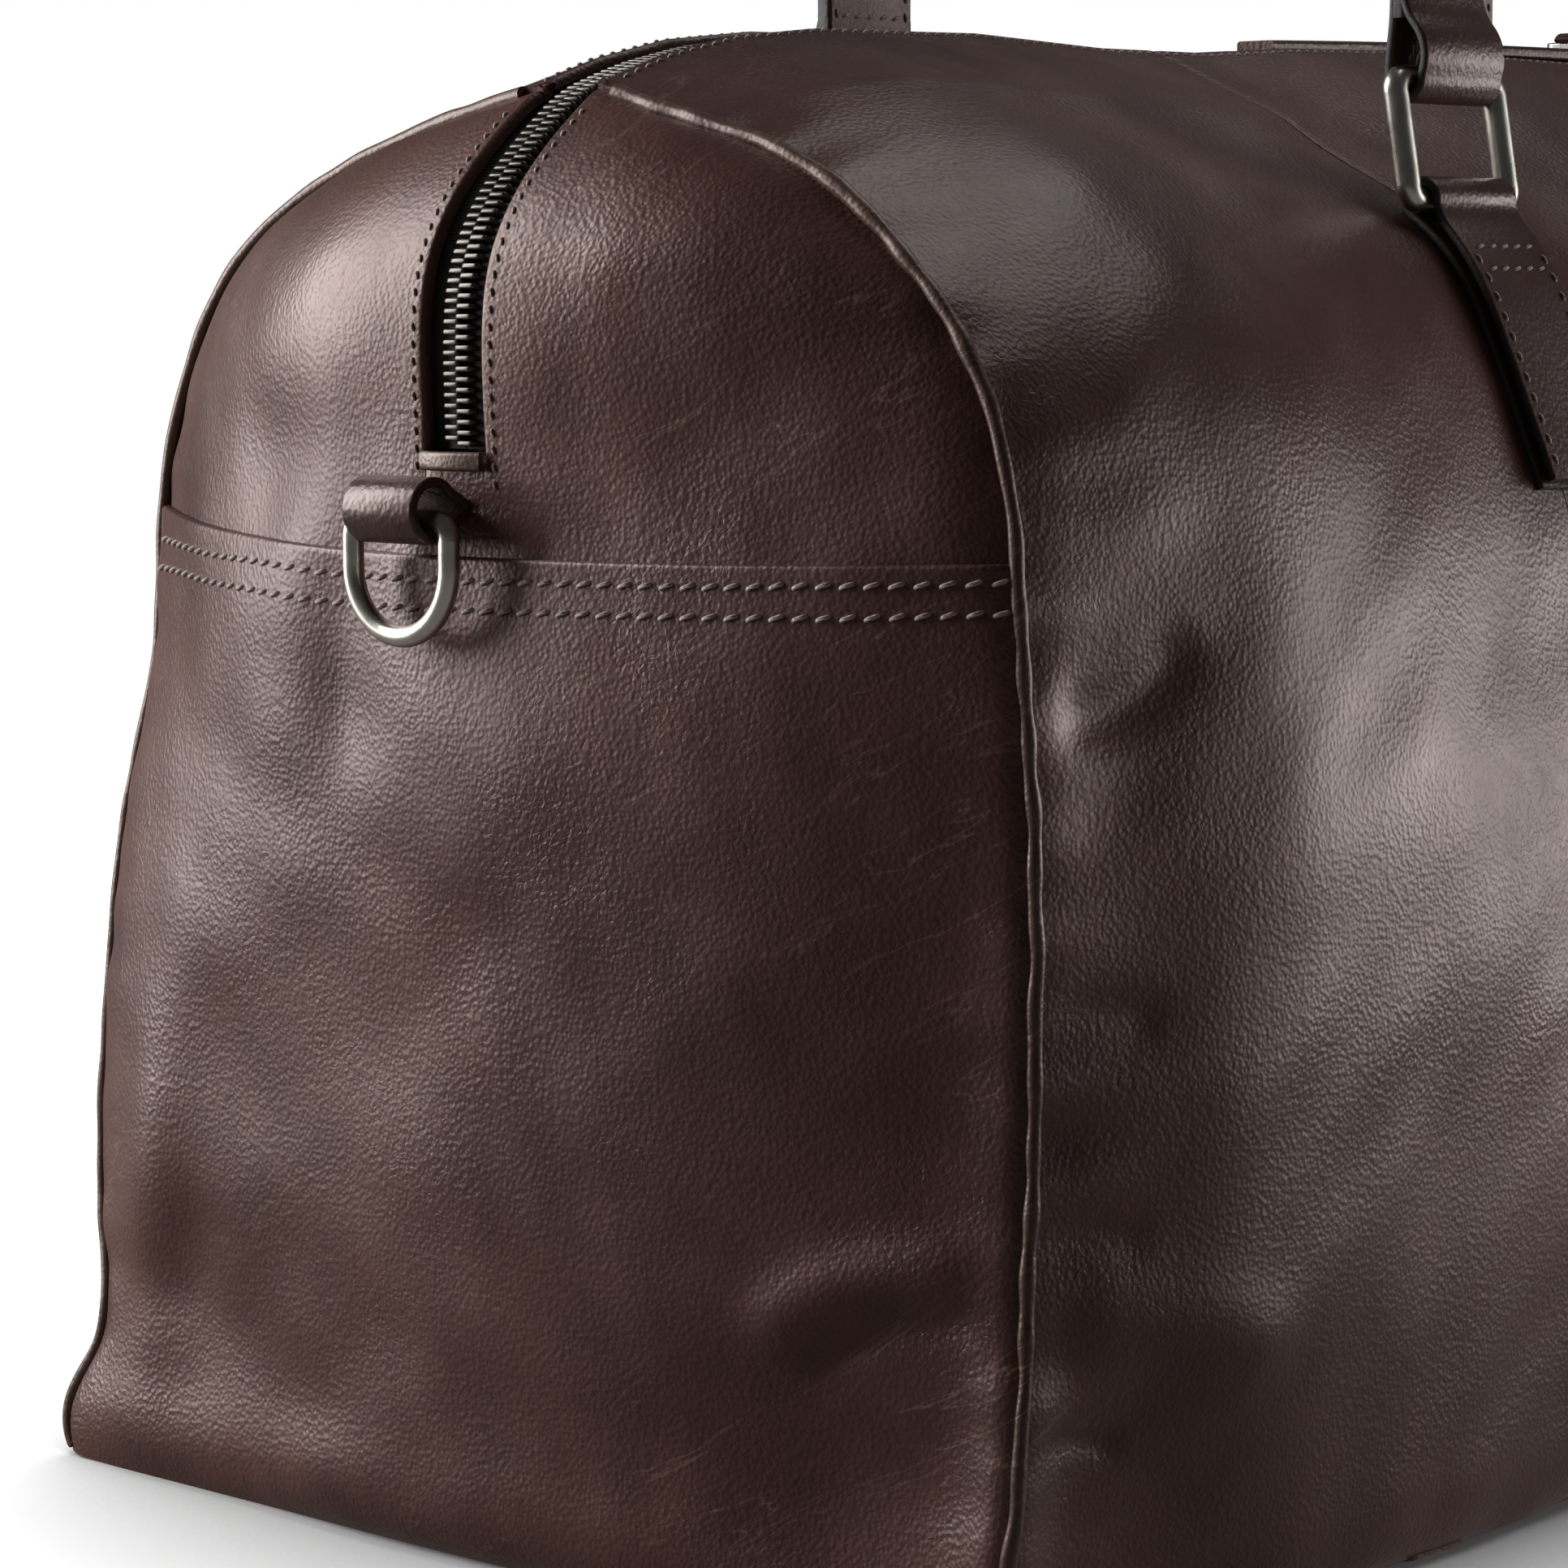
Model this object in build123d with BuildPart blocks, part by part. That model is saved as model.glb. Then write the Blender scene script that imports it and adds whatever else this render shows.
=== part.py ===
from build123d import *
import os
from math import cos, hypot, radians, sin

os.makedirs("parts", exist_ok=True)

# Leather weekend duffel bag, in millimetres. +X runs along the bag, -Y is the front, +Z is up.
# The origin is the middle of the base, on the surface that the bag stands on.

# ---------------------------------------------------------------- driving dimensions
HALF_LENGTH = 308.0       # end of the base, from the middle
END_BULGE = 10.0          # how far an end panel bulges past the base
SEAM_X = 296.0            # plane of each end seam
PANEL_SEAM_X = 120.0      # seams between the centre panels and the side panels
BODY_TOP = 291.0          # top of the body, at the zipper
LEATHER = 2.4             # leather panels with their backing
GAP = 0.3                 # air between neighbouring layers
TAPE = 0.6                # zipper tape
LINING = 0.8
BOARD = 2.5               # stiffening board in the base
POCKET_TOP = 192.0        # folded edge of each end pocket
SLOT_HALF = 7.5           # half the slot between the two leather lips of the zipper
CHAIN_HALF = 3.8          # half the width of the closed zipper chain
TAPE_HALF = 16.0
ZIP_END_Z = 208.0         # where the zipper stops on each end panel

STRAP_WIDTH = 28.0        # handle straps and handle tabs
STRAP = 3.6               # doubled strap
HANDLE_X = 116.0          # middle of each handle leg
BAR_Y = 83.0              # the lower ring bars stand this far from the zipper
LOWER_BAR_Z = 257.0
RING_HEIGHT = 24.6        # bar to bar, to the middle of the wire
RING_LEAN = 10.0          # degrees that each ring leans towards the zipper
UPPER_BAR_Y = BAR_Y - RING_HEIGHT * sin(radians(RING_LEAN))
UPPER_BAR_Z = LOWER_BAR_Z + RING_HEIGHT * cos(radians(RING_LEAN))
RING_WIRE_R = 2.6         # wire of the rectangular rings
RING_HALF = 17.3          # half the ring's width, to the middle of its wire
BORE_R = 3.0              # inside of each leather loop round a bar
LOOP_R = 4.8              # outside of the same loop
TAB_GAP = 2.0             # a tab stands this far off the panel, which swells beside it

LEG_TOP_Z = 328.0         # the flat leg of a handle ends here
GRIP_START_Z = 360.0      # the rolled grip starts here
GRIP_ARC_R = 60.0
GRIP_R = 7.5
CORE_R = 4.5

D_WIRE_R = 2.0            # wire of the D-rings
D_BAR_Y = 6.0             # the D-ring hangs a little behind the zipper line
D_LOOP_Z = 199.0
D_LOOP_X = 325.0
D_LOOP_R = 6.3
D_BORE_R = 4.2
D_LOOP_HALF = 9.5
D_BAR_DROP = 1.8          # the bar hangs this far under the middle of its loop
D_HALF = 12.75            # half the D-ring's width, to the middle of its wire
D_HEIGHT = 21.5           # D-ring, bar to the bottom of its bow, to the middle of the wire

LEFT_SLIDER_X = 70.0
RIGHT_SLIDER_X = 94.0
SLIDER_HALF = 8.0
SLIDER_HALF_WIDTH = 5.8
PULL_PIVOT_Z = 297.0
PULL_WIDTH = 9.0
PULL_THICK = 3.0
PULL_REACH = 146.0        # pivot to the free end of the leather pull

# ---------------------------------------------------------------- body outlines
# Half outlines of the body, base to zipper: (distance from the zipper plane, height).
# They start a little under the base, which is then cut off flat.
END_OUTLINE = [
    (121.2, -2), (124.5, 20), (123.8, 46), (122.6, 81), (121.6, 137), (116.5, 193),
    (110.5, 216.5), (100.5, 233), (84.5, 248), (64, 261.5), (38.5, 269.5), (18, 275.5), (0, 279),
]
SIDE_OUTLINE = [
    (121.0, -2), (127, 22), (129, 47), (130, 83), (128, 138), (119, 194), (112.5, 215),
    (103, 232), (90, 247), (70, 260), (44, 271.5), (20, 282.5), (0, 288.5),
]
HANDLE_OUTLINE = [
    (121.1, -2), (126, 22), (127, 47), (126, 83), (121.5, 138), (111.5, 195), (105, 212.5),
    (97.5, 229), (87, 245), (65, 257), (36, 273), (14, 286), (0, BODY_TOP),
]
STATIONS = [
    (-328, END_OUTLINE), (-290, END_OUTLINE), (-218, SIDE_OUTLINE), (-112, HANDLE_OUTLINE),
    (112, HANDLE_OUTLINE), (218, SIDE_OUTLINE), (290, END_OUTLINE), (328, END_OUTLINE),
]
# Half of the long profile at the zipper, base to top: (distance from the middle, height).
LONG_PROFILE = [
    (HALF_LENGTH, -2), (311, 70), (314, 140), (316.6, 209), (HALF_LENGTH + END_BULGE, 233),
    (316, 244), (304, 262), (287, 277), (252, 287.5), (218, 291.3),
]
PLAN_CORNER = (296.0, 136.0)   # corner of the plan outline, (X, Y)


def inward(points, distance):
    """Half outline moved inward by a distance, its base end raised by as much."""
    moved = [(points[0][0] - distance, points[0][1] + distance)]
    for i in range(1, len(points)):
        before = points[i - 1]
        after = points[i + 1] if i + 1 < len(points) else (-points[i - 1][0], points[i - 1][1])
        along_y = after[0] - before[0]
        along_z = after[1] - before[1]
        length = hypot(along_y, along_z)
        moved.append((points[i][0] - distance * along_z / length,
                      points[i][1] + distance * along_y / length))
    return moved


def body_form(inset):
    """The closed shape of the bag's body, drawn inward by inset on every side."""
    with BuildPart() as form:
        for x, outline in STATIONS:
            half = inward(outline, inset)
            front = [(-y, z) for y, z in half]
            back = [(y, z) for y, z in reversed(half[:-1])]
            with BuildSketch(Plane.YZ.offset(x)):
                with BuildLine():
                    Spline(*front, *back)
                    Line(back[-1], front[0])
                make_face()
        loft()
        half = [(x - inset, z) for x, z in LONG_PROFILE[:-3]]
        half += [(x - 0.7 * inset, z - 0.7 * inset) for x, z in LONG_PROFILE[-3:-1]]
        half += [(LONG_PROFILE[-1][0], LONG_PROFILE[-1][1] - inset)]
        half[0] = (HALF_LENGTH - inset, LONG_PROFILE[0][1] + inset)
        with BuildSketch(Plane.XZ):
            with BuildLine():
                Spline(*half)
                Line(half[-1], (-half[-1][0], half[-1][1]))
                Spline(*[(-x, z) for x, z in reversed(half)])
                Line((-half[0][0], half[0][1]), half[0])
            make_face()
        extrude(amount=200, both=True, mode=Mode.INTERSECT)
        corner_x = PLAN_CORNER[0] - inset
        corner_y = PLAN_CORNER[1]
        tip_x = HALF_LENGTH + END_BULGE + 1 - inset
        with BuildSketch(Plane.XY.offset(inset)):
            with BuildLine():
                ThreePointArc((corner_x, -corner_y), (tip_x, 0), (corner_x, corner_y))
                Line((corner_x, corner_y), (-corner_x, corner_y))
                ThreePointArc((-corner_x, corner_y), (-tip_x, 0), (-corner_x, -corner_y))
                Line((-corner_x, -corner_y), (corner_x, -corner_y))
            make_face()
        extrude(amount=320, mode=Mode.INTERSECT)
    return form.part


def layer(outer, inner):
    """The skin between two body forms."""
    with BuildPart() as skin:
        add(outer)
        add(inner, mode=Mode.SUBTRACT)
    return skin.part


def block(low, high):
    """A plain box between two corners, used to cut a skin into panels."""
    with BuildPart() as solid:
        with BuildSketch(Plane.XY.offset(low[2])):
            with Locations(((low[0] + high[0]) / 2, (low[1] + high[1]) / 2)):
                Rectangle(high[0] - low[0], high[1] - low[1])
        extrude(amount=high[2] - low[2])
    return solid.part


def finish(part, name):
    part.label = name
    export_step(part, "parts/" + name + ".step")


FAR = 360.0
leather_outside = body_form(0)
leather_inside = body_form(LEATHER)
tape_outside = body_form(LEATHER + GAP)
tape_inside = body_form(LEATHER + GAP + TAPE)
lining_depth = LEATHER + TAPE + 2 * GAP
lining_outside = body_form(lining_depth)
lining_inside = body_form(lining_depth + LINING)
leather_skin = layer(leather_outside, leather_inside)
tape_skin = layer(tape_outside, tape_inside)
lining_skin = layer(lining_outside, lining_inside)
chain_skin = layer(body_form(GAP), body_form(LEATHER))
rib_skin = layer(body_form(-2.2), body_form(-GAP))
zip_slot = block((-FAR, -SLOT_HALF, ZIP_END_Z), (FAR, SLOT_HALF, FAR))
seam_half = GAP / 2

# ---------------------------------------------------------------- base
with BuildPart() as base_panel:
    add(leather_skin)
    add(block((-FAR, -FAR, -1), (FAR, FAR, LEATHER)), mode=Mode.INTERSECT)
finish(base_panel.part, "base_panel")

board_z = lining_depth + LINING + GAP
with BuildPart() as base_board:
    with BuildSketch(Plane.XY.offset(board_z)):
        RectangleRounded(584, 226, 20)
    extrude(amount=BOARD)
finish(base_board.part, "base_board")

# ---------------------------------------------------------------- leather panels
wall_z = LEATHER + GAP
long_spans = {
    "left": (-SEAM_X + seam_half, -PANEL_SEAM_X - seam_half),
    "centre": (-PANEL_SEAM_X + seam_half, PANEL_SEAM_X - seam_half),
    "right": (PANEL_SEAM_X + seam_half, SEAM_X - seam_half),
}
faces = {"front": (-FAR, -SLOT_HALF), "back": (SLOT_HALF, FAR)}
for face, (low_y, high_y) in faces.items():
    for place, (low_x, high_x) in long_spans.items():
        with BuildPart() as long_panel:
            add(leather_skin)
            add(block((low_x, low_y, wall_z), (high_x, high_y, FAR)), mode=Mode.INTERSECT)
        finish(long_panel.part, face + "_" + place + "_panel")

ends = {"left": -1, "right": 1}
for end, side in ends.items():
    near = min(side * (SEAM_X + seam_half), side * FAR)
    far = max(side * (SEAM_X + seam_half), side * FAR)
    with BuildPart() as end_panel:
        add(leather_skin)
        add(block((near, -FAR, wall_z), (far, FAR, FAR)), mode=Mode.INTERSECT)
        add(zip_slot, mode=Mode.SUBTRACT)
    finish(end_panel.part, end + "_end_panel")

# ---------------------------------------------------------------- end pockets and end piping
POCKET_HALF = 113.0
for end, side in ends.items():
    near = min(side * (SEAM_X - 28), side * FAR)
    far = max(side * (SEAM_X - 28), side * FAR)
    with BuildPart() as end_pocket:
        add(rib_skin)
        add(block((near, -POCKET_HALF, wall_z), (far, POCKET_HALF, POCKET_TOP)),
            mode=Mode.INTERSECT)
    finish(end_pocket.part, end + "_end_pocket")

RIB = 3.0
for end, side in ends.items():
    near = min(side * SEAM_X, side * (SEAM_X - RIB))
    for face, way in {"front": -1, "back": 1}.items():
        low_y = min(way * (SLOT_HALF + 2), way * FAR)
        high_y = max(way * (SLOT_HALF + 2), way * FAR)
        with BuildPart() as end_piping:
            add(rib_skin)
            add(block((near, low_y, wall_z), (near + RIB, high_y, FAR)), mode=Mode.INTERSECT)
        finish(end_piping.part, end + "_" + face + "_piping")

# ---------------------------------------------------------------- lining
lining_cut = {
    "left_end_lining": ((-FAR, -FAR, 20), (-SEAM_X + 10, FAR, FAR)),
    "right_end_lining": ((SEAM_X - 10, -FAR, 20), (FAR, FAR, FAR)),
    "front_lining": ((-SEAM_X + 10.3, -FAR, 20), (SEAM_X - 10.3, 0, FAR)),
    "back_lining": ((-SEAM_X + 10.3, 0, 20), (SEAM_X - 10.3, FAR, FAR)),
    "base_lining": ((-FAR, -FAR, 0), (FAR, FAR, 20 - GAP)),
}
lining_slot = block((-FAR, -9, ZIP_END_Z - 4), (FAR, 9, FAR))
for name, (low, high) in lining_cut.items():
    with BuildPart() as lining_piece:
        add(lining_skin)
        add(block(low, high), mode=Mode.INTERSECT)
        add(lining_slot, mode=Mode.SUBTRACT)
    finish(lining_piece.part, name)

# ---------------------------------------------------------------- zipper
for face, way in {"front": -1, "back": 1}.items():
    for name, skin, near_y, far_y in (
        ("tape", tape_skin, 0.4, TAPE_HALF),
        ("chain", chain_skin, 0.1, CHAIN_HALF),
    ):
        low_y = min(way * near_y, way * far_y)
        high_y = max(way * near_y, way * far_y)
        with BuildPart() as zip_strip:
            add(skin)
            add(block((-FAR, low_y, ZIP_END_Z + 1), (FAR, high_y, FAR)), mode=Mode.INTERSECT)
        finish(zip_strip.part, "zipper_" + name + "_" + face)

END_FACE_X = 319.0
for end, side in ends.items():
    with BuildPart() as end_stop:
        with BuildSketch(Plane.YZ.offset(side * END_FACE_X)):
            with Locations((0, ZIP_END_Z + 1)):
                RectangleRounded(16, 5, 1.2)
        extrude(amount=side * 2.2)
    finish(end_stop.part, end + "_zipper_end_bar")

# ---------------------------------------------------------------- sliders and pulls
plate_z = BODY_TOP + 0.6
sliders = {"left": (LEFT_SLIDER_X, -1), "right": (RIGHT_SLIDER_X, 1)}
for end, (x, side) in sliders.items():
    pivot_x = x + side * 3.0
    with BuildPart() as slider:
        with BuildSketch(Plane.XY.offset(plate_z)):
            with Locations((x, 0)):
                RectangleRounded(2 * SLIDER_HALF, 2 * SLIDER_HALF_WIDTH, 3)
        extrude(amount=1.8)
        with BuildSketch(Plane.XY.offset(plate_z - 2.6)):
            with Locations((x, SLIDER_HALF_WIDTH - 0.6), (x, -SLIDER_HALF_WIDTH + 0.6)):
                Rectangle(2 * SLIDER_HALF - 6, 1.2)
        extrude(amount=2.8)
        with BuildSketch(Plane.XZ.offset(-1.5)):
            with Locations((pivot_x, PULL_PIVOT_Z - 1.6)):
                RectangleRounded(7.5, 7.6, 2.5)
            with Locations((pivot_x, PULL_PIVOT_Z)):
                Circle(1.7, mode=Mode.SUBTRACT)
        extrude(amount=3.0)
    finish(slider.part, end + "_slider")

    link_end_x = pivot_x + side * 15.0
    with BuildPart() as pull_link:
        with BuildSketch(Plane.XY.offset(PULL_PIVOT_Z)):
            with Locations(((pivot_x + link_end_x) / 2, 0)):
                RectangleRounded(abs(link_end_x - pivot_x) + 2.4, 14.8, 2.6)
                RectangleRounded(abs(link_end_x - pivot_x) - 2.4, 10.0, 1.4, mode=Mode.SUBTRACT)
        extrude(amount=1.1, both=True)
        fillet(pull_link.edges().filter_by(Plane.XY), 0.5)
    finish(pull_link.part, end + "_pull_link")

    with BuildPart() as pull_strap:
        with BuildSketch(Plane.XZ.offset(-PULL_WIDTH / 2)):
            with Locations((link_end_x, PULL_PIVOT_Z)):
                Circle(3.4)
            strap_low = min(link_end_x, pivot_x + side * PULL_REACH)
            strap_long = abs(pivot_x + side * PULL_REACH - link_end_x)
            with Locations((strap_low + strap_long / 2, PULL_PIVOT_Z)):
                Rectangle(strap_long, PULL_THICK)
            with Locations((link_end_x, PULL_PIVOT_Z)):
                Rectangle(3.0, 2.8, mode=Mode.SUBTRACT)
        extrude(amount=PULL_WIDTH)
    finish(pull_strap.part, end + "_pull_strap")

# ---------------------------------------------------------------- D-rings on the ends
for end, side in ends.items():
    loop_x = side * D_LOOP_X
    with BuildPart() as d_ring_loop:
        with BuildSketch(Plane.XZ.offset(-D_BAR_Y - D_LOOP_HALF)):
            with Locations((loop_x, D_LOOP_Z)):
                Circle(D_LOOP_R)
            with Locations((side * (END_FACE_X + 2.6), D_LOOP_Z + 1.0)):
                Rectangle(4.0, 9.0)
            with Locations((loop_x, D_LOOP_Z)):
                Circle(D_BORE_R, mode=Mode.SUBTRACT)
        extrude(amount=2 * D_LOOP_HALF)
    finish(d_ring_loop.part, end + "_d_ring_loop")

    bar_z = D_LOOP_Z - D_BAR_DROP
    with BuildPart() as d_ring:
        with BuildLine(Plane.YZ.offset(loop_x)) as d_path:
            FilletPolyline(
                (D_BAR_Y + D_HALF, bar_z),
                (D_BAR_Y + D_HALF, bar_z - D_HEIGHT),
                (D_BAR_Y - D_HALF, bar_z - D_HEIGHT),
                (D_BAR_Y - D_HALF, bar_z),
                radius=[3.5, D_HALF - 0.05, D_HALF - 0.05, 3.5],
                close=True,
            )
        wire = d_path.wires()[0]
        with BuildSketch(Plane(origin=wire @ 0, z_dir=wire % 0)):
            Circle(D_WIRE_R)
        sweep(path=wire)
    finish(d_ring.part, end + "_d_ring")

# ---------------------------------------------------------------- handle tabs, rings, handles
TAB_FROM = 5              # first point of HANDLE_OUTLINE that a tab covers
TAB_TO = 8
tab_inner = inward(HANDLE_OUTLINE, -TAB_GAP)[TAB_FROM:TAB_TO + 1]
tab_outer = inward(HANDLE_OUTLINE, -TAB_GAP - STRAP)[TAB_FROM:TAB_TO + 1]
for face, way in {"front": -1, "back": 1}.items():
    for end, side in ends.items():
        x = side * HANDLE_X
        name = face + "_" + end
        inner = [(way * y, z) for y, z in tab_inner]
        outer = [(way * y, z) for y, z in reversed(tab_outer)]
        with BuildPart() as tab:
            with BuildSketch(Plane.YZ.offset(x - STRAP_WIDTH / 2)):
                with BuildLine():
                    Spline(*inner)
                    Line(inner[-1], outer[0])
                    Spline(*outer)
                    Line(outer[-1], inner[0])
                make_face()
                with BuildLine():
                    Polyline(
                        (way * (BAR_Y + LOOP_R - 0.05), LOWER_BAR_Z),
                        (way * (BAR_Y + 8.0), LOWER_BAR_Z - 8.7),
                        (way * (BAR_Y + 5.0), LOWER_BAR_Z - 11.2),
                        (way * (BAR_Y - 0.5), LOWER_BAR_Z - 3.6),
                        close=True,
                    )
                make_face()
                with Locations((way * BAR_Y, LOWER_BAR_Z)):
                    Circle(LOOP_R)
                    Circle(BORE_R, mode=Mode.SUBTRACT)
            extrude(amount=STRAP_WIDTH)
        finish(tab.part, name + "_handle_tab")

        with BuildPart() as ring:
            with BuildLine(Plane.XZ.offset(-way * BAR_Y)) as ring_path:
                FilletPolyline(
                    (x + RING_HALF, LOWER_BAR_Z),
                    (x + RING_HALF, LOWER_BAR_Z + RING_HEIGHT),
                    (x - RING_HALF, LOWER_BAR_Z + RING_HEIGHT),
                    (x - RING_HALF, LOWER_BAR_Z),
                    radius=2.9,
                    close=True,
                )
            wire = ring_path.wires()[0]
            with BuildSketch(Plane(origin=wire @ 0, z_dir=wire % 0)):
                Circle(RING_WIRE_R)
            sweep(path=wire)
        lower_bar = Axis((0, way * BAR_Y, LOWER_BAR_Z), (1, 0, 0))
        finish(ring.part.rotate(lower_bar, way * RING_LEAN), name + "_ring")

GRIP_TOP_Z = GRIP_START_Z + GRIP_ARC_R
arc_in = HANDLE_X - GRIP_ARC_R
for face, way in {"front": -1, "back": 1}.items():
    plane = Plane.XZ.offset(-way * UPPER_BAR_Y)
    with BuildPart() as core:
        with BuildLine(plane) as grip_path:
            a = JernArc(start=(-HANDLE_X, GRIP_START_Z), tangent=(0, 1), radius=GRIP_ARC_R,
                        arc_size=-90)
            b = Line(a @ 1, (arc_in, GRIP_TOP_Z))
            JernArc(start=b @ 1, tangent=(1, 0), radius=GRIP_ARC_R, arc_size=-90)
        with BuildSketch(Plane(origin=(-HANDLE_X, way * UPPER_BAR_Y, GRIP_START_Z), z_dir=(0, 0, 1))):
            Circle(CORE_R)
        sweep(path=grip_path.wires()[0])
    finish(core.part, face + "_handle_core")

    with BuildPart() as strap:
        with BuildSketch(Plane(origin=(-HANDLE_X, way * UPPER_BAR_Y, GRIP_START_Z), z_dir=(0, 0, 1))):
            Circle(GRIP_R)
            Circle(CORE_R + 0.1, mode=Mode.SUBTRACT)
        sweep(path=grip_path.wires()[0])
        for side in (-1, 1):
            x = side * HANDLE_X
            with BuildSketch(Plane(origin=(x, way * UPPER_BAR_Y, LEG_TOP_Z), z_dir=(0, 0, 1))):
                RectangleRounded(STRAP_WIDTH, STRAP, 1.2)
            with BuildSketch(Plane(origin=(x, way * UPPER_BAR_Y, GRIP_START_Z), z_dir=(0, 0, 1))):
                RectangleRounded(2 * GRIP_R, 2 * GRIP_R, GRIP_R - 0.1)
            loft()
            with BuildSketch(Plane.YZ.offset(x - STRAP_WIDTH / 2)):
                with Locations((way * UPPER_BAR_Y, UPPER_BAR_Z)):
                    Circle(LOOP_R)
                with Locations((way * UPPER_BAR_Y, (UPPER_BAR_Z + LEG_TOP_Z) / 2)):
                    Rectangle(STRAP, LEG_TOP_Z - UPPER_BAR_Z)
                with Locations((way * UPPER_BAR_Y, UPPER_BAR_Z)):
                    Circle(BORE_R, mode=Mode.SUBTRACT)
            extrude(amount=STRAP_WIDTH)
    finish(strap.part, face + "_handle_strap")
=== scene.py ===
import math

import bpy
import numpy as np
from mathutils import Matrix, Vector
from mathutils.bvhtree import BVHTree


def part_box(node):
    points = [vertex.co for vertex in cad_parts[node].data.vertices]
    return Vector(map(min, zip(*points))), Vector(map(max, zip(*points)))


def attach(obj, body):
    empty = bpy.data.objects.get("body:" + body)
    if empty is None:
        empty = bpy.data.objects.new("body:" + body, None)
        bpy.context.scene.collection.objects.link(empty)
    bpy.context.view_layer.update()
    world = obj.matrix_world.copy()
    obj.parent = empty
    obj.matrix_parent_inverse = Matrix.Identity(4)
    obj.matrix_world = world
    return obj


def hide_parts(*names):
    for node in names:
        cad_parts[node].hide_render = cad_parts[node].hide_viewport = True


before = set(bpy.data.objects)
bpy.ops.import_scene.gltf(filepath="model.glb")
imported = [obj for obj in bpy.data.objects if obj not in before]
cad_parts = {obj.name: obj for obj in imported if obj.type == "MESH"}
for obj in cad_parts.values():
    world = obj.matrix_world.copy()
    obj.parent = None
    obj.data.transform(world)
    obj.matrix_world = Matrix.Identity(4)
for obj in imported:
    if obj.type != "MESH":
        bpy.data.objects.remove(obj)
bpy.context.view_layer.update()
MM = 0.001

# ================================================================ camera, light and floor
scene = bpy.context.scene
scene.view_settings.view_transform = "Standard"
scene.view_settings.look = "None"

EYE = Vector((-0.925, -0.635, 0.238))
PITCH = math.radians(5.84)
HEADING = math.radians(42.3)      # from +X towards +Y

ahead = Vector((math.cos(HEADING), math.sin(HEADING), -math.tan(PITCH))).normalized()
right = Vector((math.sin(HEADING), -math.cos(HEADING), 0))
above = right.cross(ahead)
camera_data = bpy.data.cameras.new("camera")
camera_data.lens = 109.6
camera_data.sensor_width = 36
camera_data.clip_start = 0.01
camera = bpy.data.objects.new("camera", camera_data)
camera.matrix_world = Matrix.Translation(EYE) @ Matrix((right, above, -ahead)).transposed().to_4x4()
scene.collection.objects.link(camera)
scene.camera = camera


def area_light(name, place, target, size, power):
    """A soft box of size (width, height) at place that faces target."""
    data = bpy.data.lights.new(name, "AREA")
    data.shape = "RECTANGLE"
    data.size, data.size_y = size
    data.energy = power
    lamp = bpy.data.objects.new(name, data)
    lamp.rotation_euler = (Vector(target) - Vector(place)).to_track_quat("-Z", "Y").to_euler()
    lamp.location = place
    scene.collection.objects.link(lamp)


area_light("left_softbox", (-0.92, 1.20, 0.70), (-0.28, 0.05, 0.16), (0.7, 1.3), 35)
area_light("front_softbox", (1.15, -0.70, 0.22), (-0.10, -0.12, 0.12), (0.55, 0.5), 4.9)
area_light("front_fill", (1.00, -1.15, 0.20), (-0.05, -0.12, 0.05), (0.9, 0.7), 5.2)
area_light("top_softbox", (0.45, -0.10, 1.4), (-0.15, -0.05, 0.2), (0.8, 0.8), 4.2)


world = bpy.data.worlds.new("studio")
scene.world = world
world.use_nodes = True
sky = world.node_tree
sky.nodes.clear()
sky_out, sky_mix, sky_ray, sky_fill, sky_seen = (
    sky.nodes.new("ShaderNode" + kind)
    for kind in ("OutputWorld", "MixShader", "LightPath", "Background", "Background"))
for background, colour, strength in ((sky_fill, (0.95, 0.97, 1, 1), 0.035), (sky_seen, (1, 1, 1, 1), 1.0)):
    background.inputs["Color"].default_value = colour
    background.inputs["Strength"].default_value = strength
sky.links.new(sky_ray.outputs["Is Camera Ray"], sky_mix.inputs[0])
sky.links.new(sky_fill.outputs[0], sky_mix.inputs[1])
sky.links.new(sky_seen.outputs[0], sky_mix.inputs[2])
sky.links.new(sky_mix.outputs[0], sky_out.inputs[0])


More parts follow.
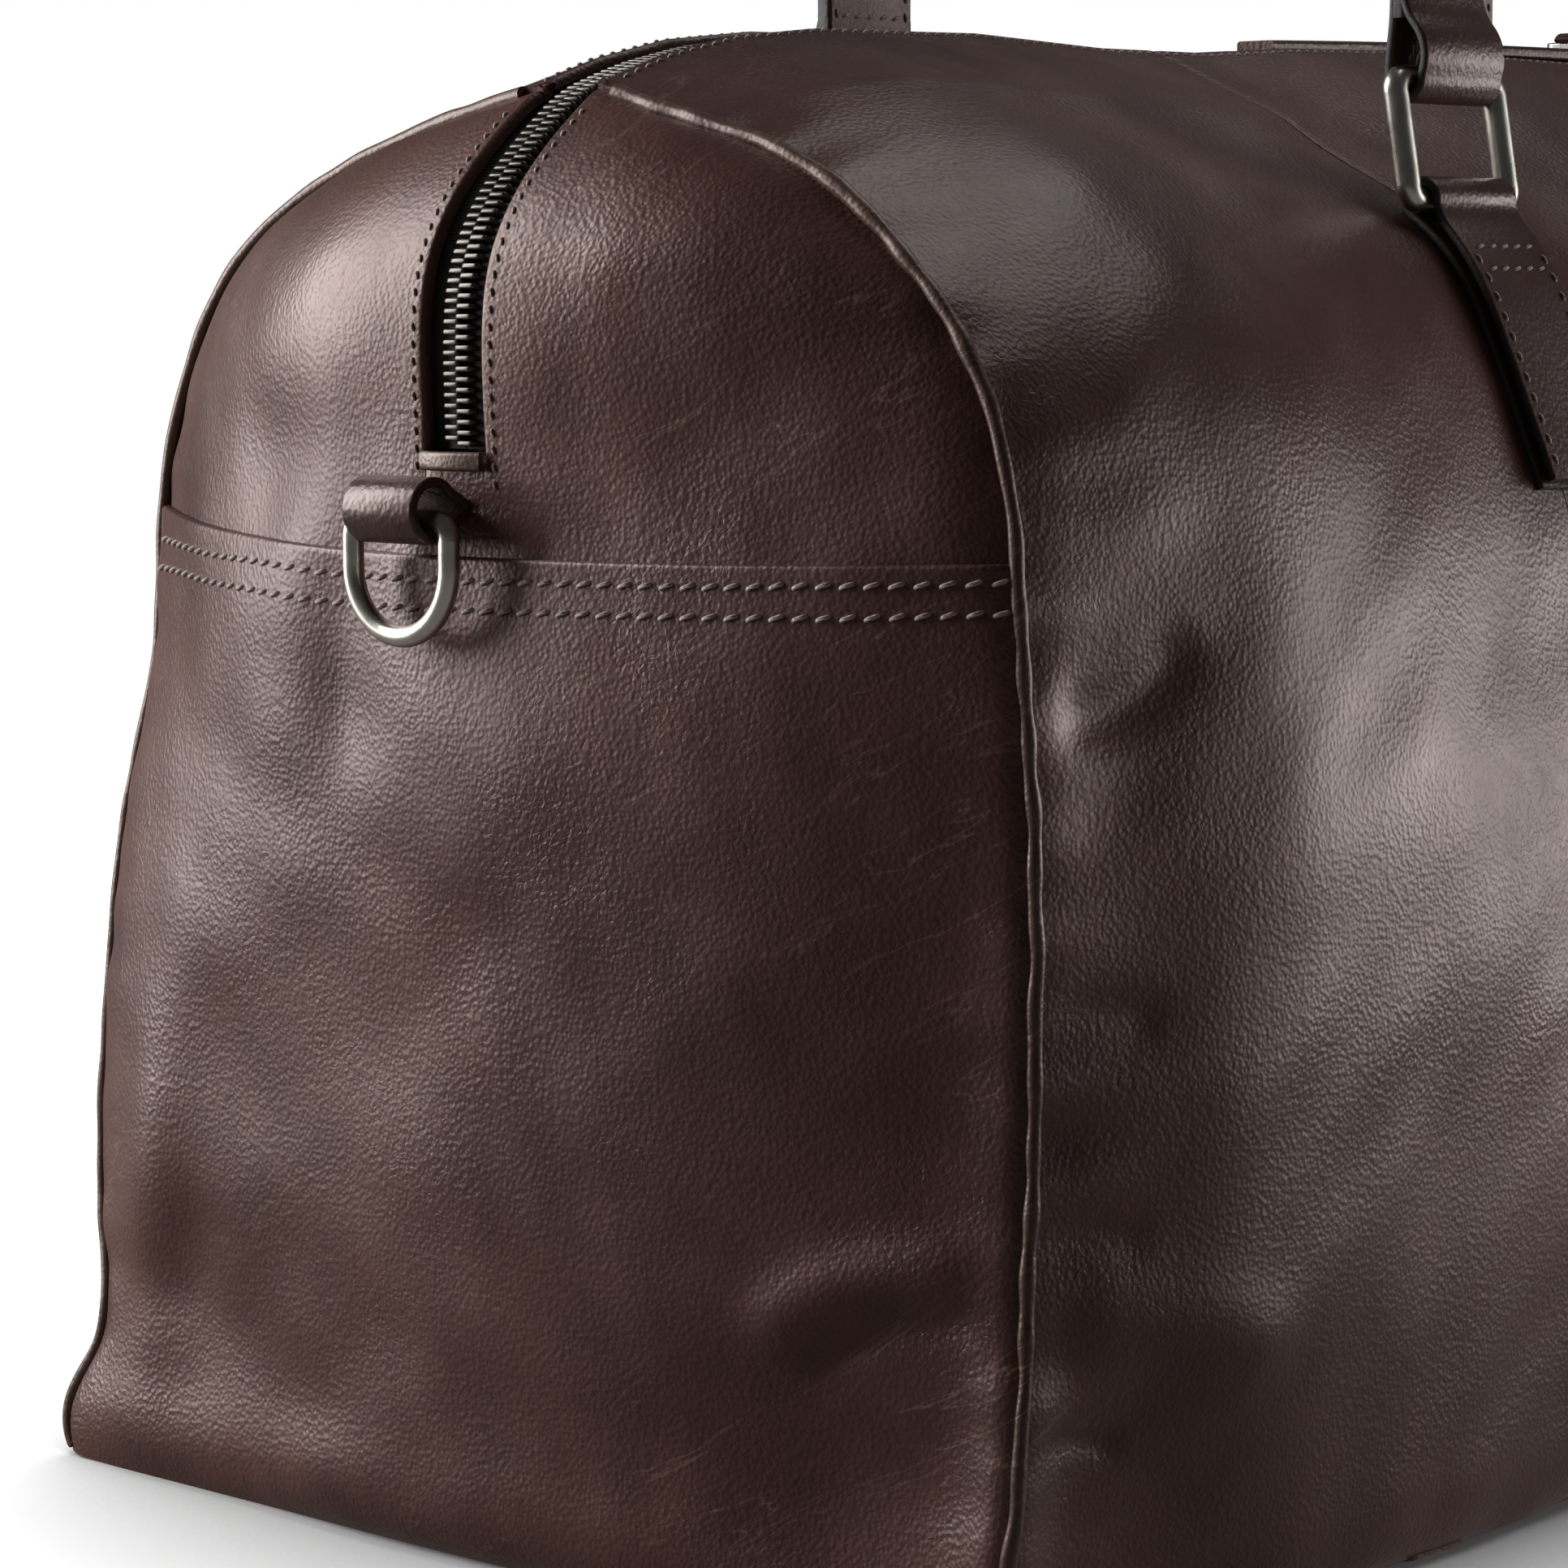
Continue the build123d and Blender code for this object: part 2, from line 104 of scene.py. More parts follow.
# ================================================================ materials
class Shading:
    """A material with one Principled shader, and short ways to add nodes to it."""

    def __init__(self, name):
        self.material = bpy.data.materials.new(name)
        self.material.use_nodes = True
        self.nodes = self.material.node_tree.nodes
        self.links = self.material.node_tree.links
        self.nodes.clear()
        out = self.nodes.new("ShaderNodeOutputMaterial")
        self.shader = self.nodes.new("ShaderNodeBsdfPrincipled")
        self.links.new(self.shader.outputs[0], out.inputs[0])

    def feed(self, node, **inputs):
        """Sets inputs that are values and links inputs that are sockets; _ in a name stands for a space."""
        for name, value in inputs.items():
            socket = node.inputs[name.replace("_", " ")]
            if isinstance(value, bpy.types.NodeSocket):
                self.links.new(value, socket)
            else:
                socket.default_value = value

    def node(self, kind, output, settings=(), **inputs):
        """Adds a node with its settings, (name, value) pairs, and its inputs. Returns the named output."""
        node = self.nodes.new("ShaderNode" + kind)
        for name, value in settings:
            setattr(node, name, value)
        self.feed(node, **inputs)
        return node.outputs[output]

    def placed(self, stretch=(1, 1, 1), turn=(0, 0, 0)):
        """Object coordinates, turned and then stretched."""
        where = self.node("TexCoord", "Object")
        return self.node("Mapping", "Vector", [("vector_type", "TEXTURE")], Vector=where, Rotation=turn,
                         Scale=[1 / share for share in stretch])

    def noise(self, vector, scale, detail=3.0, roughness=0.5, distortion=0.0):
        return self.node("TexNoise", "Fac", Vector=vector, Scale=scale, Detail=detail, Roughness=roughness,
                         Distortion=distortion)

    def ramp(self, value, *stops):
        """A grey ramp: stops are (place, brightness)."""
        node = self.nodes.new("ShaderNodeValToRGB")
        elements = node.color_ramp.elements
        while len(elements) < len(stops):
            elements.new(0.5)
        for element, (place, bright) in zip(elements, stops):
            element.position = place
            element.color = (bright, bright, bright, 1)
        self.feed(node, Fac=value)
        return node.outputs["Color"]

    def mix(self, factor, first, second, blend="MIX"):
        node = self.nodes.new("ShaderNodeMix")
        node.data_type = "RGBA"
        node.blend_type = blend
        for socket, value in ((0, factor), (6, first), (7, second)):
            if isinstance(value, bpy.types.NodeSocket):
                self.links.new(value, node.inputs[socket])
            else:
                node.inputs[socket].default_value = (*value, 1) if isinstance(value, tuple) else value
        return node.outputs[2]

    def times(self, first, second):
        return self.mix(1.0, first, second, "MULTIPLY")

    def bump(self, height, strength, distance, **under):
        return self.node("Bump", "Normal", Height=height, Strength=strength, Distance=distance, **under)


def leather(name, dark, light, worn, grain=1.0, scratches=1.0):
    """Smooth pull-up leather: pebbled pores, patches of colour, pale stretched scratches."""
    s = Shading(name)
    plain = s.placed()
    patches = s.ramp(s.noise(plain, 11, 4, 0.55), (0.35, 0), (0.68, 1))
    mottle = s.ramp(s.noise(plain, 90, 5, 0.6), (0.3, 0.80), (0.75, 1.18))
    speckle = s.ramp(s.noise(plain, 900, 3, 0.6), (0.35, 0.86), (0.7, 1.12))
    colour = s.times(s.times(s.mix(patches, dark, light), mottle), speckle)
    slanted = s.placed((7, 7, 60), (-0.40, -0.435, 0))
    line = s.ramp(s.noise(slanted, 1.6, 4, 0.55, 0.4), (0.492, 0), (0.5, 1), (0.508, 0))
    where = s.ramp(s.noise(plain, 15, 2), (0.54, 0), (0.68, 1))
    scratch = s.times(s.times(line, where), (0.55 * scratches,) * 3)
    gloss = s.ramp(s.noise(plain, 24, 5, 0.6), (0.3, 0.32), (0.7, 0.47))

    pores = s.node("TexVoronoi", "Distance", [("feature", "SMOOTH_F1")], Vector=plain, Scale=1000,
                   Smoothness=0.55)
    fine = s.bump(pores, 0.55 * grain, 0.00022)
    warped = s.mix(0.012, plain, s.noise(plain, 130, 3))
    crease = s.node("TexVoronoi", "Distance", [("feature", "DISTANCE_TO_EDGE")], Vector=warped, Scale=420)
    crease_place = s.ramp(s.noise(plain, 26, 3), (0.48, 0), (0.74, 0.8))
    creases = s.mix(crease_place, (1, 1, 1), s.ramp(crease, (0.0, 0), (0.12, 1)))
    wrinkled = s.bump(creases, 0.34 * grain, 0.00019, Normal=fine)
    broad = s.bump(s.noise(plain, 700, 5, 0.55), 0.36 * grain, 0.00019, Normal=wrinkled)
    s.feed(s.shader, Base_Color=s.mix(scratch, colour, worn), Roughness=gloss, IOR=1.5, Normal=broad,
           Specular_Tint=(1.0, 0.73, 0.66, 1), Coat_Tint=(1.0, 0.86, 0.82, 1), Coat_Weight=0.08,
           Coat_Roughness=0.32)
    return s.material


def cut_edge(name, colour):
    """The raw or dyed edge of a strap: fibrous and matt."""
    s = Shading(name)
    fibre = s.ramp(s.noise(s.placed(), 800, 5, 0.7), (0.3, 0.6), (0.75, 1.3))
    s.feed(s.shader, Base_Color=s.times(colour, fibre), Roughness=0.55, Normal=s.bump(fibre, 0.5, 0.0002))
    return s.material


def thread(name, colour):
    """Waxed thread with a fine twist."""
    s = Shading(name)
    strands = s.node("TexWave", "Fac", Vector=s.placed(turn=(0.6, 0.6, 0.6)), Scale=520, Distortion=2.0)
    shade = s.ramp(strands, (0.1, 0.65), (0.8, 1.15))
    s.feed(s.shader, Base_Color=s.times(colour, shade), Roughness=0.5, Sheen_Weight=0.3,
           Normal=s.bump(strands, 0.5, 0.0001))
    return s.material


def metal(name, colour, smooth, dull, scratch):
    """Cast or drawn metal with fine polishing marks; its roughness runs from smooth to dull."""
    s = Shading(name)
    cloudy = s.noise(s.placed(), 160, 4, 0.6)
    tint = s.ramp(cloudy, (0.3, 0.86), (0.7, 1.06))
    gloss = s.ramp(cloudy, (0.3, smooth), (0.7, dull))
    marks = s.noise(s.placed((1, 8, 8), (0.4, 0.2, 0)), 700, 4, 0.6)
    s.feed(s.shader, Base_Color=s.times(colour, tint), Metallic=1.0, Roughness=gloss,
           Normal=s.bump(marks, scratch, 0.00006))
    return s.material


def cloth(name, colour, pitch):
    """Plain weave: two crossed waves, threads pitch metres apart."""
    s = Shading(name)
    plain = s.placed()
    warp, weft = (s.node("TexWave", "Fac", [("bands_direction", way)], Vector=plain, Distortion=0.6,
                         Scale=0.314 / pitch) for way in "XZ")
    weave = s.mix(0.5, warp, weft)
    shade = s.ramp(weave, (0.2, 0.7), (0.8, 1.15))
    s.feed(s.shader, Base_Color=s.times(colour, shade), Roughness=0.85, Sheen_Weight=0.25,
           Normal=s.bump(weave, 0.6, 0.0002))
    return s.material


def matt_white(name, low, high):
    """A matt floor, faintly mottled between two greys."""
    s = Shading(name)
    s.feed(s.shader, Base_Color=s.ramp(s.noise(s.placed(), 3, 2), (0, low), (1, high)), Roughness=0.9)
    return s


BODY_LEATHER = leather("body_leather", (0.043, 0.0170, 0.0140), (0.094, 0.040, 0.033), (0.20, 0.12, 0.095))
STRAP_LEATHER = leather("strap_leather", (0.037, 0.017, 0.0148), (0.064, 0.031, 0.0275), (0.16, 0.09, 0.075),
                        grain=0.8, scratches=0.3)
PIPING_LEATHER = leather("piping_leather", (0.055, 0.030, 0.023), (0.11, 0.066, 0.050), (0.28, 0.18, 0.13),
                         grain=0.7, scratches=1.2)
EDGE = cut_edge("cut_edge", (0.022, 0.014, 0.015))
THREAD = thread("thread", (0.33, 0.245, 0.21))
LIP_THREAD = thread("lip_thread", (0.24, 0.17, 0.145))
NICKEL = metal("satin_nickel", (0.66, 0.63, 0.56), 0.26, 0.36, 0.12)
DARK_METAL = metal("dark_metal", (0.30, 0.285, 0.27), 0.24, 0.38, 0.2)
TEETH_METAL = metal("zipper_metal", (0.085, 0.078, 0.070), 0.30, 0.42, 0.2)
TAPE_CLOTH = cloth("tape_cloth", (0.030, 0.021, 0.015), 0.0006)
LINING_CLOTH = cloth("lining_cloth", (0.20, 0.16, 0.12), 0.0007)
BOARD = cut_edge("board", (0.10, 0.10, 0.10))

# How a skin is made up: the end of its name, its face and edge materials, and its slot.
LEATHER = ("_leather", [BODY_LEATHER, BODY_LEATHER], "body_leather")
EDGED_LEATHER = ("_leather", [BODY_LEATHER, EDGE], "body_leather")
LINING = ("_cloth", [LINING_CLOTH, LINING_CLOTH], "lining_cloth")
TAPE = ("_cloth", [TAPE_CLOTH, TAPE_CLOTH], "zipper_tape")

floor = matt_white("floor", 0.50, 0.54)
# The floor's glow fades where ambient occlusion finds the bag close by: a painted contact shadow on the
# floor.
painted_contact_shadow = floor.node("AmbientOcclusion", "AO", Distance=0.15)
floor.feed(floor.shader, Emission_Color=floor.ramp(painted_contact_shadow, (0.46, 0), (0.94, 1)), Emission_Strength=1.03)
paper = matt_white("paper", 0.74, 0.78)
paper.feed(paper.shader, Emission_Color=(1, 0.95, 0.9, 1), Emission_Strength=0.13)


def white_plane(name, height, material):
    bpy.ops.mesh.primitive_plane_add(size=16, location=(0, 0, height))
    plane = bpy.context.object
    plane.name = name
    plane.data.materials.append(material)
    return plane


# One plane is what the camera sees; the other only sends light back up. The seen plane glows white, and
# ambient occlusion dims its glow near the bag: a painted contact shadow.
seen_floor = white_plane("floor", -0.0004, floor.material)
seen_floor.visible_diffuse = False
seen_floor.visible_glossy = False
white_plane("floor_bounce", -0.0009, paper.material).visible_camera = False


# ================================================================ curves and surfaces in numbers
CURVE_SAMPLES = 900


def spline(knots, values, at):
    """Natural cubic spline through values (first axis) at knots, read at the places at."""
    knots = np.asarray(knots, float)
    values = np.asarray(values, float)
    count = len(knots)
    h = np.diff(knots)
    matrix = np.eye(count)
    rhs = np.zeros_like(values)
    for i in range(1, count - 1):
        matrix[i, i - 1: i + 2] = h[i - 1], 2 * (h[i - 1] + h[i]), h[i]
        rhs[i] = 6 * ((values[i + 1] - values[i]) / h[i] - (values[i] - values[i - 1]) / h[i - 1])
    bend = np.linalg.solve(matrix, rhs.reshape(count, -1)).reshape(values.shape)
    at = np.asarray(at, float)
    k = np.clip(np.searchsorted(knots, at) - 1, 0, count - 2)
    shape = (-1,) + (1,) * (values.ndim - 1)
    a = ((knots[k + 1] - at) / h[k]).reshape(shape)
    b = ((at - knots[k]) / h[k]).reshape(shape)
    width = h[k].reshape(shape)
    curved = (a**3 - a) * bend[k] + (b**3 - b) * bend[k + 1]
    return a * values[k] + b * values[k + 1] + curved * width**2 / 6


def lengths(points):
    """Distance along a polyline to each of its points."""
    return np.concatenate([[0], np.cumsum(np.linalg.norm(np.diff(points, axis=0), axis=1))])


def smooth_curve(points, fractions):
    """A smooth curve through points, read at fractions of its length."""
    rough = lengths(points)
    dense = spline(rough, points, np.linspace(0, rough[-1], CURVE_SAMPLES))
    run = lengths(dense)
    return at_length(dense, run, fractions * run[-1])


def at_length(points, run, where):
    return np.stack([np.interp(where, run, points[:, i]) for i in range(points.shape[1])], axis=1)


def unit(vectors):
    return vectors / np.maximum(np.linalg.norm(vectors, axis=-1, keepdims=True), 1e-12)


def eased(share):
    """0 below 0 and 1 above 1, with a smooth rise between."""
    share = np.clip(share, 0, 1)
    return share**2 * (3 - 2 * share)


def facing(points, direction):
    """The same direction at every point."""
    return np.broadcast_to(np.asarray(direction, float), points.shape)


def grid_normals(points, outward):
    """Unit normals of a grid of points, turned to the side of the outward direction."""
    rows = np.gradient(points, axis=0)
    columns = np.gradient(points, axis=1)
    normals = unit(np.cross(unit(rows), unit(columns)))
    flip = np.sign((normals * outward).sum(-1, keepdims=True))
    flip[flip == 0] = 1
    return normals * flip


def ripples(a, b, size, seed, count=7):
    """Smooth irregular waves of about that size, between -1 and 1."""
    rng = np.random.RandomState(seed)
    total = np.zeros(np.broadcast(a, b).shape)
    for _ in range(count):
        angle = rng.uniform(0, math.pi)
        wave = 2 * math.pi / (size * rng.uniform(0.7, 1.5))
        total = total + np.cos(wave * (a * math.cos(angle) + b * math.sin(angle)) + rng.uniform(0, 6.28))
    return total / count * 1.6


def dimple(a, b, centre, radii, turn, height):
    """A soft hollow or swelling; turn is in degrees."""
    c, s = math.cos(math.radians(turn)), math.sin(math.radians(turn))
    u = ((a - centre[0]) * c + (b - centre[1]) * s) / radii[0]
    v = (-(a - centre[0]) * s + (b - centre[1]) * c) / radii[1]
    return height * np.exp(-(u**2 + v**2))


def fold(a, b, path, width, height):
    """A ridge (height above 0) or crease (below 0) along a path, fading at its ends."""
    route = smooth_curve(path, np.linspace(0, 1, 40))
    best = np.full(a.shape, 1e9)
    place = np.zeros(a.shape)
    for i in range(len(route) - 1):
        step = route[i + 1] - route[i]
        t = np.clip(((a - route[i, 0]) * step[0] + (b - route[i, 1]) * step[1]) / (step @ step), 0, 1)
        gap = np.hypot(a - route[i, 0] - t * step[0], b - route[i, 1] - t * step[1])
        nearer = gap < best
        best = np.where(nearer, gap, best)
        place = np.where(nearer, (i + t) / (len(route) - 1), place)
    return height * eased(np.minimum(place, 1 - place) / 0.25) * np.exp(-((best / width) ** 2))


def marked(relief, a, b, marks):
    """The relief with marks added; a mark is dimple or fold and its values."""
    for shape, *values in marks:
        relief = relief + shape(a, b, *values)
    return relief


# ================================================================ mesh makers
SHARP_ANGLE = math.radians(50)


def build(name, shape, materials, body, replaced=(), face_slots=None):
    """A mesh piece in metres, from a shape (vertices, faces) in millimetres."""
    vertices, faces = shape
    mesh = bpy.data.meshes.new(name)
    mesh.from_pydata((np.asarray(vertices) * MM).tolist(), [], [list(map(int, f)) for f in faces])
    for material in materials:
        mesh.materials.append(material)
    if face_slots is not None:
        mesh.polygons.foreach_set("material_index", np.asarray(face_slots, np.int32))
    mesh.polygons.foreach_set("use_smooth", np.ones(len(mesh.polygons), bool))
    mesh.update()
    mesh.set_sharp_from_angle(angle=SHARP_ANGLE)
    piece = bpy.data.objects.new(name, mesh)
    scene.collection.objects.link(piece)
    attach(piece, body)
    if replaced:
        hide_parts(*replaced)


def all_cells(points):
    """A mask that keeps every cell of a grid of points."""
    return np.ones((points.shape[0] - 1, points.shape[1] - 1), bool)


def panel_faces(keep):
    """Faces of a closed skin on a grid: outer cells, inner cells, and a wall round every edge.

    With them comes a list that says of each face whether it is part of that wall, 1 or 0.
    """
    rows, columns = keep.shape[0] + 1, keep.shape[1] + 1
    under = rows * columns
    faces = []
    edge = []
    for i in range(rows - 1):
        for j in range(columns - 1):
            if not keep[i, j]:
                continue
            a, b = i * columns + j, i * columns + j + 1
            c, d = b + columns, a + columns
            faces += [(a, b, c, d), (d + under, c + under, b + under, a + under)]
            edge += [0, 0]
            for side, (p, q) in ((keep[i - 1, j] if i else False, (b, a)),
                                 (keep[i + 1, j] if i < rows - 2 else False, (d, c)),
                                 (keep[i, j - 1] if j else False, (a, d)),
                                 (keep[i, j + 1] if j < columns - 2 else False, (c, b))):
                if not side:
                    faces.append((p, q, q + under, p + under))
                    edge.append(1)
    return faces, edge


def skin(node, make, points, normals, thickness, keep=None, edge_distance=None, roll=1.1):
    """A sheet on a grid as a closed solid that replaces a CAD node, rounded where edge_distance is short."""
    suffix, materials, slot = make
    outer = points
    if edge_distance is not None:
        near = np.clip(edge_distance, 0, roll)
        outer = points - normals * (roll - np.sqrt(np.maximum(roll**2 - (roll - near) ** 2, 0)))[..., None]
    inner = points - normals * thickness
    vertices = np.concatenate([outer.reshape(-1, 3), inner.reshape(-1, 3)])
    faces, edge = panel_faces(all_cells(points) if keep is None else keep)
    first = np.array(faces[0][:3])
    face_normal = np.cross(vertices[first[1]] - vertices[first[0]], vertices[first[2]] - vertices[first[0]])
    if face_normal @ normals.reshape(-1, 3)[first[0]] < 0:
        faces = [f[::-1] for f in faces]
    used = np.unique(np.concatenate([np.array(f) for f in faces]))
    number = np.full(len(vertices), -1)
    number[used] = np.arange(len(used))
    faces = [tuple(number[list(f)]) for f in faces]
    build(node + suffix, (vertices[used], faces), materials, "bag", (node,), edge)


def tube_faces(count, around):
    """Faces of a closed tube of count rings with that many points around."""
    faces = []
    for low in range(0, (count - 1) * around, around):
        high = low + around
        for j in range(around):
            k = (j + 1) % around
            faces.append((low + j, low + k, high + k, high + j))
    return faces + [tuple(range(around - 1, -1, -1)), tuple(range((count - 1) * around, count * around))]


def sweep(path, side, sections):
    """Vertices and faces of sections (n, k, 2) carried along a path (n, 3), their width kept near side."""
    tangent = unit(np.gradient(path, axis=0))
    side = facing(path, side)
    side = unit(side - (side * tangent).sum(-1, keepdims=True) * tangent)
    up = np.cross(tangent, side)
    points = path[:, None] + sections[..., :1] * side[:, None] + sections[..., 1:] * up[:, None]
    return points.reshape(-1, 3), tube_faces(*sections.shape[:2])


def rounded(width, thickness, radius, corner=4):
    """A rounded rectangle, as points round it; width runs along the first axis."""
    radius = min(radius, width / 2 - 0.01, thickness / 2 - 0.01)
    points = []
    for cx, cy, start in ((1, 1, 0), (-1, 1, 90), (-1, -1, 180), (1, -1, 270)):
        for k in range(corner + 1):
            angle = math.radians(start + 90 * k / corner)
            points.append((cx * (width / 2 - radius) + radius * math.cos(angle),
                           cy * (thickness / 2 - radius) + radius * math.sin(angle)))
    return np.array(points)


def joined(parts):
    """Several (vertices, faces) as one."""
    vertices, faces, base = [], [], 0
    for v, f in parts:
        vertices.append(v)
        faces += [tuple(i + base for i in face) for face in f]
        base += len(v)
    return np.concatenate(vertices), faces


def strap_band(path, side, width, thickness, radius=0.75):
    """A flat strap with rounded edges along a path."""
    return sweep(path, side, np.repeat(rounded(width, thickness, radius)[None], len(path), 0))


class Surface:
    """The outer face of a panel, for laying stitches and edges on it."""

    def __init__(self, points, keep=None):
        rows, columns = points.shape[:2]
        faces = []
        for i in range(rows - 1):
            for j in range(columns - 1):
                if keep is None or keep[i, j]:
                    a = i * columns + j
                    faces.append((a, a + 1, a + 1 + columns, a + columns))
        self.tree = BVHTree.FromPolygons(points.reshape(-1, 3).tolist(), faces)

    def drop(self, points, outward):
        """The nearest places on the surface and the normals there, on the outward side."""
        places, normals = [], []
        for p, o in zip(points, outward):
            hit, normal, _, _ = self.tree.find_nearest(Vector(p))
            if normal.dot(Vector(o)) < 0:
                normal = -normal
            places.append(hit)
            normals.append(normal)
        return np.array(places), np.array(normals)


def stitches(path, normals, pitch, length, radius, slant, rise=0.25):
    """A row of slanted thread stitches along a path that lies on a surface."""
    run = lengths(path)
    count = max(int(run[-1] / pitch), 1)
    pitch = run[-1] / count
    parts = []
    ring = np.linspace(0, 2 * math.pi, 6, endpoint=False)
    bead = np.linspace(-1, 1, 7)
    for i in range(count):
        middle = (i + 0.5) * pitch
        where = np.clip(middle + bead * length / 2, 0, run[-1])
        line = at_length(path, run, where)
        up = unit(at_length(normals, run, where))
        along = unit(line[-1:] - line[:1])
        across = unit(np.cross(up, along))
        line = line + across * (bead * slant * 0.5)[:, None] + up * (rise - 0.75 * np.abs(bead) ** 3)[:, None]
        thick = radius * np.sqrt(np.maximum(1.02 - np.abs(bead) ** 4, 0.02))
        points = (line[:, None] + across[:, None] * (np.cos(ring) * thick[:, None])[..., None]
                  + up[:, None] * (np.sin(ring) * thick[:, None] * 0.8)[..., None])
        parts.append((points.reshape(-1, 3), tube_faces(len(bead), len(ring))))
    return joined(parts)


# ================================================================ the shape of the body
# Half outlines, base to zipper: (distance from the zipper plane, height).
SIDE_OUTLINE = [
    (116, 0), (122, 3), (127, 20), (129.5, 47), (130, 83), (128, 138), (124, 168), (119, 194),
    (112.5, 215), (103, 232), (90, 247), (70, 260), (44, 271.5), (22, 282), (7.5, 288.8),
]
HANDLE_OUTLINE = [
    (115, 0), (121, 3), (125, 20), (126.5, 47), (126, 83), (120.5, 138), (115, 165), (107.5, 195),
    (100.5, 212.5), (92.5, 229), (82.5, 245), (62, 258), (35, 274), (20, 282), (7.5, 289),
]
# Height of the zipper lips along the bag: (distance from the middle, height).
LIP_PROFILE = [
    (0, 293.2), (28, 293), (73, 292), (105, 289.9), (138, 289.6), (179, 291), (228, 289.9),
    (252, 287.4), (270, 283.4), (281, 279.7), (286.8, 277.4),
]
CENTRE_OUTLINE = [
    (115, 0), (121, 3), (125, 20), (127, 47), (127, 83), (123, 138), (118, 165), (111, 195),
    (104, 212.5), (96, 229), (86, 245), (64, 259), (36, 275), (20, 285), (7.5, 292),
]
# End seams of the left end, base to zipper: (X, distance from the zipper plane, height).
FRONT_SEAM = [
    (-302, 114.5, 0), (-303, 118.5, 3), (-303, 121, 12), (-302.5, 122.5, 24), (-300.5, 123.3, 48),
    (-298, 122.6, 81), (-296, 121.6, 137), (-295.5, 119.3, 164), (-295, 116.2, 193), (-294, 110.5, 216.5),
    (-293, 100.5, 233),
    (-291.5, 84.5, 248), (-290, 64, 261.5), (-288.3, 38.3, 269.5), (-286.8, 7.5, 277.4),
]
BACK_SEAM = [
    (-307, 126, 0), (-307, 127.6, 3), (-306.5, 128.2, 10), (-305, 121.5, 22), (-303.5, 119.5, 34),
    (-301, 123, 47), (-299.5, 125, 67), (-297, 124.5, 101), (-293, 122, 138), (-289, 117.5, 168),
    (-286, 119, 194), (-284, 114.5, 219), (-282.6, 100, 244), (-281.5, 82, 257), (-281, 53, 268.5),
    (-286.8, 7.5, 277.4),
]
# The long profile of an end panel at the zipper plane, base to top: (distance from the middle, height).
END_PROFILE = [
    (307, 0), (310.5, 3), (312.5, 20), (314, 50), (316, 100), (317.3, 150), (318, 190), (317.4, 212),
    (317.8, 232), (315.6, 245), (304.2, 262.5), (287, 277.4),
]
END_LINE = smooth_curve(END_PROFILE, np.linspace(0, 1, 800))
LEG_X = 116               # handle legs, from the middle of the bag
SHOULDER_X = 218          # where SIDE_OUTLINE holds
SLOT_HALF = 7.5
ZIP_END_Z = 208.0
PANEL_SEAM_X = 120.0
WALL_LENGTH = 372.0       # from the base edge up to the lip
SKIN = 2.2
SWELL = 4.5               # how far a panel swells out between its seams
PILLOW = 0.6              # how far a panel dips towards a seam
POCKET_TOP = 190.4

edge_steps = np.array([0, 0.2, 0.5, 0.9, 1.4, 2.1, 3.0, 4.2])      # mm from a lip, for its roll
LIP_STITCH = 2.6


def rows_to_lip(length, step):
    """Fractions of a length from base to lip, close together at the lip."""
    plain = np.arange(0, length - edge_steps[-1] - step / 2, step)
    return np.concatenate([plain, length - edge_steps[::-1]]) / length


def seam_points(face, fractions):
    seam = FRONT_SEAM if face == "front" else BACK_SEAM
    return smooth_curve(seam, fractions)


def wall_grid(face, columns, fractions):
    """Wall points left to right, as (X, distance from the zipper plane, Z).

    A column is (share, offset): it stands at that share of the seam's X, plus the offset.
    """
    seam = seam_points(face, fractions)
    side = smooth_curve(SIDE_OUTLINE, fractions)
    handle = smooth_curve(HANDLE_OUTLINE, fractions)
    centre = smooth_curve(CENTRE_OUTLINE, fractions)
    grid = np.zeros((len(fractions), len(columns), 3))
    for i in range(len(fractions)):
        knots = [seam[i, 0], -SHOULDER_X, -LEG_X, 0, LEG_X, SHOULDER_X, -seam[i, 0]]
        values = np.array([seam[i, 1:], side[i], handle[i], centre[i], handle[i], side[i], seam[i, 1:]])
        x = columns[:, 0] * seam[i, 0] + columns[:, 1]
        grid[i, :, 0] = x
        grid[i, :, 1:] = spline(knots, values, x)
    profile = np.array(LIP_PROFILE)
    wanted = np.interp(np.abs(grid[-1, :, 0]), profile[:, 0], profile[:, 1])
    near_lip = eased((fractions[:, None] / fractions[-1] - 0.80) / 0.20)
    grid[..., 2] += (wanted - grid[-1, :, 2]) * near_lip
    return grid


def held_at_seam(distance):
    """0 on a seam, where the leather is sewn down, and 1 well away from it."""
    return 1 - np.exp(-((np.maximum(distance, 0) / 9) ** 2))


# Marks in the leather: of a wall at (X, distance up from the base edge), of an end at (Y, Z). A dimple has
# a centre, radii, turn and height. A fold has a path, width and height.
CRUMPLED_WALL = [
    (dimple, (-264, 192), (20, 44), -30, -2.4),
    (dimple, (-216, 160), (40, 62), -20, 1.4),
    (fold, [(-294, 183), (-278, 181), (-264, 187), (-254, 196)], 6, -1.6),
    (dimple, (-272, 24), (34, 32), 12, -5.0),
    (fold, [(-298, 66), (-278, 67), (-254, 62), (-234, 50)], 10, 1.7),
    (fold, [(-298, 45), (-286, 46), (-274, 41)], 3, -1.0),
    (fold, [(-298, 126), (-284, 127), (-268, 122)], 4, -0.7),
    (fold, [(-298, 84), (-284, 85), (-272, 80)], 3.5, -0.6),
]
SLUMPED_WALL = [
    (dimple, (-253, 120), (38, 60), 15, -5),
    (fold, [(-296, 48), (-278, 58), (-256, 60)], 6, -2.2),
    (dimple, (-198, 190), (40, 30), 10, 3),
]
